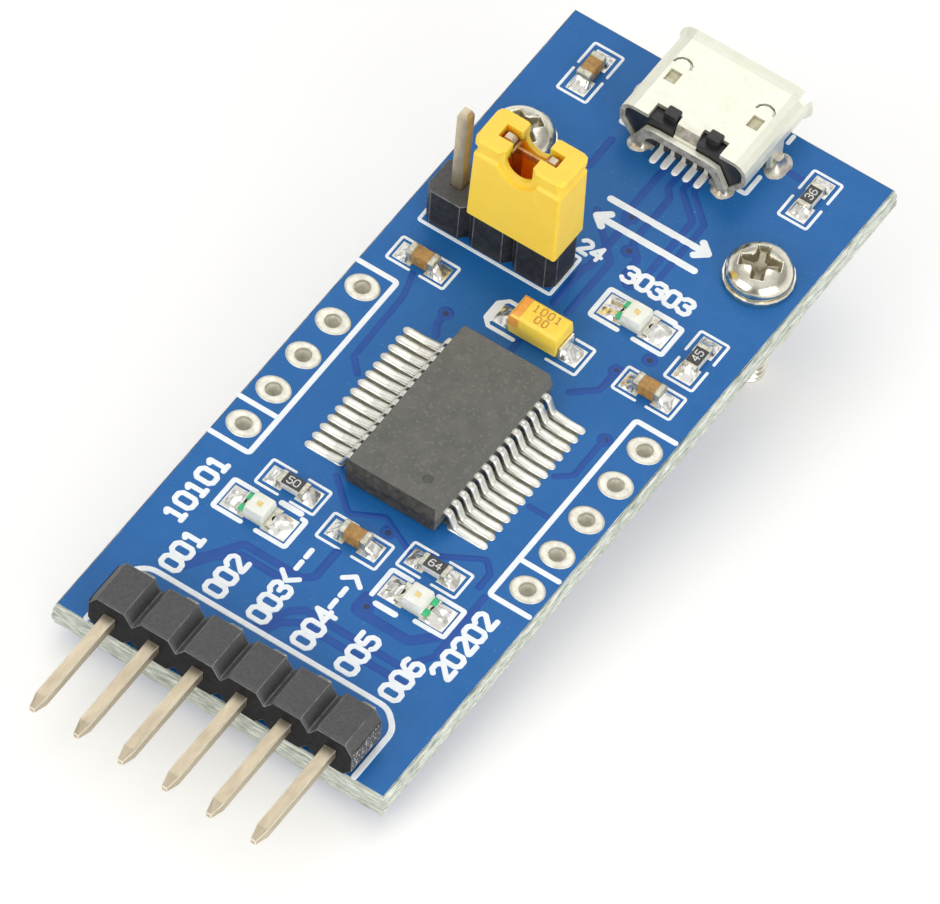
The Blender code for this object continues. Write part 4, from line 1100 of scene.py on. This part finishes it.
# Rounded edges of the header pins get this lighter gold: painted highlight.
pin_painted_edge_highlight = finish("pin_painted_edge_highlight", (0.7, 0.63, 0.5), (0.95, 0.9, 0.78), 0.6, (0.3, 0.45), 0.002, contrast=0.5, Metallic=0.7)
for k in range(1, 7):
    dressed_copy(f"gold_pin_{k}", f"header_pin_{k}", pin_gold, 0.04, pin_painted_edge_highlight)
for k in range(1, 4):
    low, high = box_of(f"selector_pin_{k}")
    middle = (low + high) / 2
    steps = [(low.z, 0.3), (low.z + 0.3, 0.6), (low.z + 0.4, pin_width)]
    steps += [(high.z - 0.42, pin_width), (high.z - 0.3, 0.6), (high.z - 0.06, 0.44), (high.z, 0.36)]
    rows = [box_section(w, w, z, middle.xy, 0.035, 2) for z, w in steps]
    loft(f"upright_pin_{k}", rows, pin_gold, slot="pin_gold", stands_for=(f"selector_pin_{k}",), crease=25)


# Solder cones of the through-hole pins and legs: each pin's tail stands out of a bright cone on the underside,
# and the socket's side legs are also flooded with solder on top.


def cone(shape, middle, foot, neck, height, base, way=1, seed=0.0, squash=1.0):
    """A hollow-sided mound of solder round a pin."""
    rows = []
    for k in range(9):
        t = k / 8
        radius = neck + (foot - neck) * (1 - t) ** 2
        z = base + way * height * (t**1.2)
        row = []
        for x, y in circle((0, 0), radius, 24, squash):
            bump = 1 + uneven((x * 1.5 + seed, y * 1.5, z), 0.6, 0.1)
            row.append((middle[0] + x * bump, middle[1] + y * bump, z))
        rows.append(row)
    skin(shape, rows, caps=False)
    shape.faces.new([shape.verts.new(p) for p in rows[-1]])


cones = bmesh.new()
for at in pin_feet:
    cone(cones, at, foot=0.82, neck=0.34, height=0.85, base=-mask_thickness, way=-1, seed=at[0])
for side in (-1, 1):
    at = (shell_x + side * side_leg_x, side_leg_y)
    cone(cones, at, foot=0.85, neck=0.3, height=0.5, base=-mask_thickness, way=-1, seed=side, squash=1.2)
place("pin_solder_cones", cones, solder, slot="tin", crease=70)
flooded_solder = finish(
    "flooded_solder", (0.42, 0.38, 0.3), (0.88, 0.84, 0.74), 0.4, (0.26, 0.42), 0.004, contrast=0.5, Metallic=0.9
)
floods = bmesh.new()
for side in (-1, 1):
    at = (shell_x + side * (side_leg_x + 0.28), side_leg_y - 0.05)
    cone(floods, at, foot=0.62, neck=0.2, height=0.75, base=mask_top, seed=side + 5, squash=1.5)
    at = (shell_x + side * 2.45, shell_low.y + 0.32)
    cone(floods, at, foot=0.6, neck=0.24, height=0.55, base=mask_top, seed=side + 9)
place("socket_solder", floods, flooded_solder, slot="tin", crease=70)


# Jumper cap: yellow glass-filled nylon, moulded in one shot with two ears to pull it by, and a bronze spring
# inside that links the two pins it sits on. It lifts straight off.

cap_nylon = finish(
    "yellow_nylon", (0.98, 0.62, 0.05), (1.0, 0.72, 0.08), 0.9, (0.34, 0.48), 0.006, contrast=0.9,
    Subsurface_Weight=0.2,
    Subsurface_Radius=(1.0, 0.5, 0.08),
    Subsurface_Scale=0.0003,
)
# Faces in the cap's hollow get this deeper orange copy of the nylon: painted glow of light through its thin walls,
# besides the real scattering under its surface.
hollow_painted_glow = finish(
    "nylon_lit_through", (0.97, 0.42, 0.02), (0.99, 0.56, 0.04), 0.5, (0.35, 0.5), 0.006, contrast=0.8,
    Subsurface_Weight=1.0,
    Subsurface_Radius=(1.0, 0.3, 0.03),
    Subsurface_Scale=0.003,
)
bronze = finish("spring_bronze", (0.3, 0.14, 0.05), (0.5, 0.28, 0.12), 0.3, (0.3, 0.45), 0.005, Metallic=1.0)
cap_low, cap_high = box_of("jumper_cap")
cap_middle = (cap_low + cap_high) / 2


def in_cap(face):
    """Whether a face of the cap lies in its hollow."""
    at = face.center / MM - cap_middle
    return abs(at.y) < 0.82 and abs(at.x) < 1.95 and face.normal.z < 0.9


cap_piece = dressed_copy("cap_moulding", "jumper_cap", cap_nylon, 0.09, body="cap")
# Painted glow: the faces in the hollow take the deeper orange copy.
refinish(cap_piece, hollow_painted_glow, in_cap)
dress("jumper_contact", bronze, 0.02)


# USB socket: one sheet of nickel-plated steel folded into a tube with a flared mouth and two latch tongues in its
# roof, over a black moulding that holds five contacts. The contacts and the shell's legs are soldered down.

shell_plating = finish(
    "plated_steel", (0.78, 0.775, 0.65), (0.9, 0.9, 0.78), 1.2, (0.38, 0.5), 0.003, contrast=0.8, Metallic=0.6
)
cut_steel = finish("cut_steel", (0.3, 0.28, 0.23), (0.6, 0.57, 0.5), 0.4, (0.5, 0.65), 0.006, Metallic=0.2)
socket_plastic = finish("socket_plastic", (0.012, 0.012, 0.013), (0.025, 0.025, 0.026), 0.4, (0.35, 0.5), 0.004)
shell_piece = dressed_copy("socket_shell", "usb_shell", shell_plating, 0.03)
rear_reach = shell_low.y * MM + 0.0012
refinish(shell_piece, cut_steel, lambda face: face.normal.y < -0.75 and face.center.y < rear_reach)
dress("usb_insulator", socket_plastic, 0.03)
contact_tin = finish(
    "contact_tin", (0.94, 0.93, 0.88), (1.0, 1.0, 0.97), 0.3, (0.3, 0.45), 0.003, contrast=0.6, Metallic=0.1
)
contact_lands = bmesh.new()
for k in range(1, 6):
    dress(f"usb_contact_{k}", contact_tin, 0.02)
    low, high = box_of(f"usb_contact_{k}")
    contact_x = (low.x + high.x) / 2
    ridge(contact_lands, (contact_x, low.y - 0.12), (contact_x, low.y + 1.5), width=0.4, height=0.14)
place("contact_lands", contact_lands, contact_tin, slot="tin", crease=80)
# The latch tongues, sunk in the shell's roof, get this darker and duller copy of the shell's steel: painted shade of
# their recess.
latch_painted_shade_steel = finish("latch_painted_shade_steel", (0.46, 0.42, 0.27), (0.68, 0.63, 0.46), 0.4, (0.4, 0.6), 0.004, Metallic=0.3)
latch_out, latch_y = 2.425, shell_high.y - 3.0
window_y = shell_low.y + 0.98
latch = (0.62, 0.77, ((0.46, 0.0), (0.4, 0.0), (0.38, -0.06)), latch_painted_shade_steel, "plated_steel")
window_step = (0.72, 0.62, ((0.62, 0.0), (0.06, 0.0), (0.02, -0.04)), socket_plastic, "black_plastic")
blocks = (
    ("latch_left", (shell_x - latch_out, latch_y), latch),
    ("latch_right", (shell_x + latch_out, latch_y), latch),
    ("window_step_left", (shell_x - 1.12, window_y), window_step),
    ("window_step_right", (shell_x + 1.36, window_y), window_step),
)
for name, at, (width, length, steps, surface, slot) in blocks:
    rows = [box_section(width + g, length + g, shell_high.z - depth, at, 0.04, 2) for depth, g in steps]
    loft(name, rows, surface, slot=slot, crease=30)


# Fixing screws: nickel-plated steel, cold-headed with a cross recess, each with a flat washer above the board
# and a hexagon nut below it.

nickel = finish(
    "nickel_plate", (0.62, 0.58, 0.45), (0.93, 0.9, 0.78), 0.7, (0.14, 0.26), 0.002, contrast=0.5, Metallic=1.0
)
# Faces in the cross recess get this darker copy of the nickel: painted shade in the recess.
recess_painted_shade_nickel = finish(
    "recess_painted_shade_nickel", (0.26, 0.23, 0.15), (0.56, 0.52, 0.4), 0.5, (0.3, 0.5), 0.004, contrast=0.5, Metallic=1.0
)
recess_turns = {"left": math.radians(-35), "right": math.radians(22)}
recess_reach, recess_half, recess_well, recess_wall = 1.0, 0.27, 0.5, 0.2
recess_depth, recess_rise = 0.8, 0.42
around, head_steps = 120, 80
thread_pitch, thread_root, thread_depth, thread_steps, thread_drop = 0.4, 0.8, 0.19, 36, 0.05
for which, (x, y), (low, high) in zip(("left", "right"), screw_places, screw_boxes):
    _, washer_high = box_of(f"washer_{which}")
    seat = washer_high.z + 0.03
    height = high.z - seat
    radius = (high.x - low.x) / 2
    cosine, sine = math.cos(recess_turns[which]), math.sin(recess_turns[which])
    head = bmesh.new()
    recess_faces = set()
    rows = [[(x + p[0], y + p[1], seat) for p in circle((0, 0), r, around)] for r in (1.05, radius * 0.98)]
    for k in range(head_steps + 1):
        lean = math.pi / 2 * k / head_steps
        r = radius * max(math.cos(lean), 0.012) ** 0.92
        dome = seat + height * (0.09 + 0.91 * math.sin(lean) ** 0.86)
        row = []
        for px, py in circle((0, 0), r, around):
            u, v = px * cosine + py * sine, py * cosine - px * sine
            arm_u = max(abs(u) - recess_reach, abs(v) - recess_half)
            arm_v = max(abs(v) - recess_reach, abs(u) - recess_half)
            inside = min(arm_u, arm_v, math.hypot(u, v) - recess_well)
            sink = min(1.0, max(0.0, 0.5 - inside / recess_wall))
            sink = sink * sink * (3 - 2 * sink)
            floor = recess_depth - recess_rise * math.hypot(u, v)
            row.append((x + px, y + py, dome - sink * floor + uneven((px, py, 2), 0.7, 0.012)))
            if sink > 0.25:
                recess_faces.add((len(rows), len(row) - 1))
        rows.append(row)
    made = skin(head, rows)
    # Painted shade: the recess faces take the darker nickel.
    for k, j in recess_faces:
        for face in made[k][j].link_faces:
            face.material_index = 1
    made = place(f"screw_head_{which}", head, nickel, slot="nickel", stands_for=(f"screw_{which}",), crease=70)
    made.data.materials.append(recess_painted_shade_nickel)

    rows = []
    z = seat + 0.01
    tip = low.z
    while z > tip:
        row = []
        for k in range(thread_steps):
            a = 2 * math.pi * k / thread_steps
            phase = (z / thread_pitch + k / thread_steps) % 1.0
            crest = 1 - abs(2 * phase - 1)
            taper = min(1.0, (z - tip) / 0.35)
            r = (thread_root + thread_depth * min(1.0, 1.3 * crest)) * (0.8 + 0.2 * taper)
            row.append((x + r * math.cos(a), y + r * math.sin(a), z))
        rows.append(row)
        z -= thread_drop
    rows.append([(x + p[0], y + p[1], tip) for p in circle((0, 0), 0.6, thread_steps)])
    loft(f"screw_thread_{which}", rows, nickel, slot="nickel", crease=60)
    dress(f"washer_{which}", nickel, 0.05)
    dress(f"nut_{which}", nickel, 0.05)


# Table top: pale board that the module rests on by its screw ends and the tails of its header pins. It slopes
# under the module as the module leans, and runs level in front of it and behind it.

screw_low, _ = box_of("screw_left")
pin_low, _ = box_of("header_pin_1")
lean_back = (screw_places[0][1], screw_low.z)
lean_front = (header_leg_y, pin_low.z)
lean = (lean_back[1] - lean_front[1]) / (lean_back[0] - lean_front[0])
slope_start, slope_end = -34.0, 30.0


def table_height(y):
    """Height of the table top at a place along Y."""
    y = min(max(y, slope_start), slope_end)
    return lean_front[1] + (y - lean_front[0]) * lean


table = bpy.data.materials.new("pale_table")
table.use_nodes = True
tree = table.node_tree
tree.nodes.clear()
out = add_node(tree, "ShaderNodeOutputMaterial")
paint = add_node(tree, "ShaderNodeBsdfDiffuse", Color=(0.8, 0.79, 0.765, 1))
glow = add_node(tree, "ShaderNodeEmission", Color=(1, 1, 1, 1), Strength=0.265)
none = add_node(tree, "ShaderNodeEmission", Color=(0, 0, 0, 1), Strength=0.0)
rays = add_node(tree, "ShaderNodeLightPath")
seen = add_node(tree, "ShaderNodeMath", operation="MAXIMUM")
seen_all = add_node(tree, "ShaderNodeMath", operation="MAXIMUM")
lift = add_node(tree, "ShaderNodeMixShader")
total = add_node(tree, "ShaderNodeAddShader")
wire(
    tree,
    (rays, "Is Camera Ray", seen, 0),
    (rays, "Is Glossy Ray", seen, 1),
    (seen, 0, seen_all, 0),
    (rays, "Is Transmission Ray", seen_all, 1),
    (seen_all, 0, lift, 0),
    (none, 0, lift, 1),
    (glow, 0, lift, 2),
    (paint, 0, total, 0),
    (lift, 0, total, 1),
    (total, 0, out, 0),
)

table_shape = bmesh.new()
table_xs = (-2500, -200, 0, 200, 2500)
table_ys = (-2500, -60, -38, -35, -34, -33, -30, -20, -10, 0, 10, 20, 26, 29, 30, 31, 34, 60, 2500)
table_rows = []
for y in table_ys:
    z = sum(table_height(y + d) for d in (-2, -1, 0, 1, 2)) / 5
    table_rows.append([(x, y, z) for x in table_xs])
skin(table_shape, table_rows, closed=False, caps=False)
build("table_top", table_shape, table)


# Light: a bright studio room, darker between the walls and the ceiling and on the side where the camera stands,
# so that metal has something to mirror, with a large soft box behind the module and two fills.

world = bpy.data.worlds.new("studio_room")
bpy.context.scene.world = world
world.use_nodes = True
tree = world.node_tree
tree.nodes.clear()
out = add_node(tree, "ShaderNodeOutputWorld")
room = add_node(tree, "ShaderNodeBackground", Strength=1.0)
direction = add_node(tree, "ShaderNodeTexCoord")
parts = add_node(tree, "ShaderNodeSeparateXYZ")
shade = add_node(tree, "ShaderNodeValToRGB")
front = add_node(tree, "ShaderNodeMapRange", From_Min=-0.92, From_Max=-0.68, To_Min=0.25, To_Max=1.0)
front.interpolation_type = "SMOOTHSTEP"
dimmed = add_node(tree, "ShaderNodeMix", data_type="RGBA", blend_type="MULTIPLY")
dimmed.inputs[0].default_value = 1.0
wire(
    tree,
    (direction, "Generated", parts, 0),
    (parts, "Z", shade, 0),
    (parts, "Y", front, "Value"),
    (shade, 0, dimmed, 6),
    (front, 0, dimmed, 7),
    (dimmed, 2, room, "Color"),
    (room, 0, out, 0),
)
ramp = shade.color_ramp
ramp.interpolation = "EASE"
levels = ((0.0, 1.0), (0.3, 0.92), (0.45, 0.42), (0.68, 0.42), (0.85, 0.78), (1.0, 0.8))
while len(ramp.elements) < len(levels):
    ramp.elements.new(0.5)
for element, (at, level) in zip(ramp.elements, levels):
    element.position = at
    element.color = (level, level, level, 1)


def soft_box_lamp(name, azimuth, elevation, distance, size, power):
    """A square lamp that faces the module. Azimuth 0 is in front of it, towards -Y."""
    lamp = bpy.data.lights.new(name, "AREA")
    lamp.size = size
    lamp.energy = power
    made = add_object(name, lamp)
    a, e = math.radians(azimuth), math.radians(elevation)
    back = Vector((math.sin(a) * math.cos(e), -math.cos(a) * math.cos(e), math.sin(e)))
    made.location = back * distance
    made.rotation_mode = "QUATERNION"
    made.rotation_quaternion = back.to_track_quat("Z", "Y")


soft_box_lamp("soft_box_back", 205, 56, 0.55, 0.42, 0.6)
soft_box_lamp("fill_right", 62, 20, 0.6, 0.5, 2.0)
soft_box_lamp("fill_front", -18, 30, 0.6, 0.4, 1.3)


# Camera: a long lens from in front and to the right, high above the module. Its focal length is in pixels of the
# picture's width, and its place is in millimetres.

focal_pixels, picture_width, sensor_width = 12068, 940, 36
view = bpy.data.cameras.new("camera")
view.sensor_width = sensor_width
view.lens = sensor_width * focal_pixels / picture_width
view.clip_start = 0.01
view.clip_end = 10
camera = add_object("camera", view)
right = Vector((0.82722, 0.55898, 0.05702))
up = Vector((-0.48167, 0.65321, 0.58421))
away = right.cross(up)
turn = Matrix((right, up, away)).transposed().to_4x4()
stand = Vector((169.64, -300.06, 472.16))
camera.matrix_world = Matrix.Translation(stand * MM) @ turn
bpy.context.scene.camera = camera
bpy.context.scene.view_settings.view_transform = "Standard"
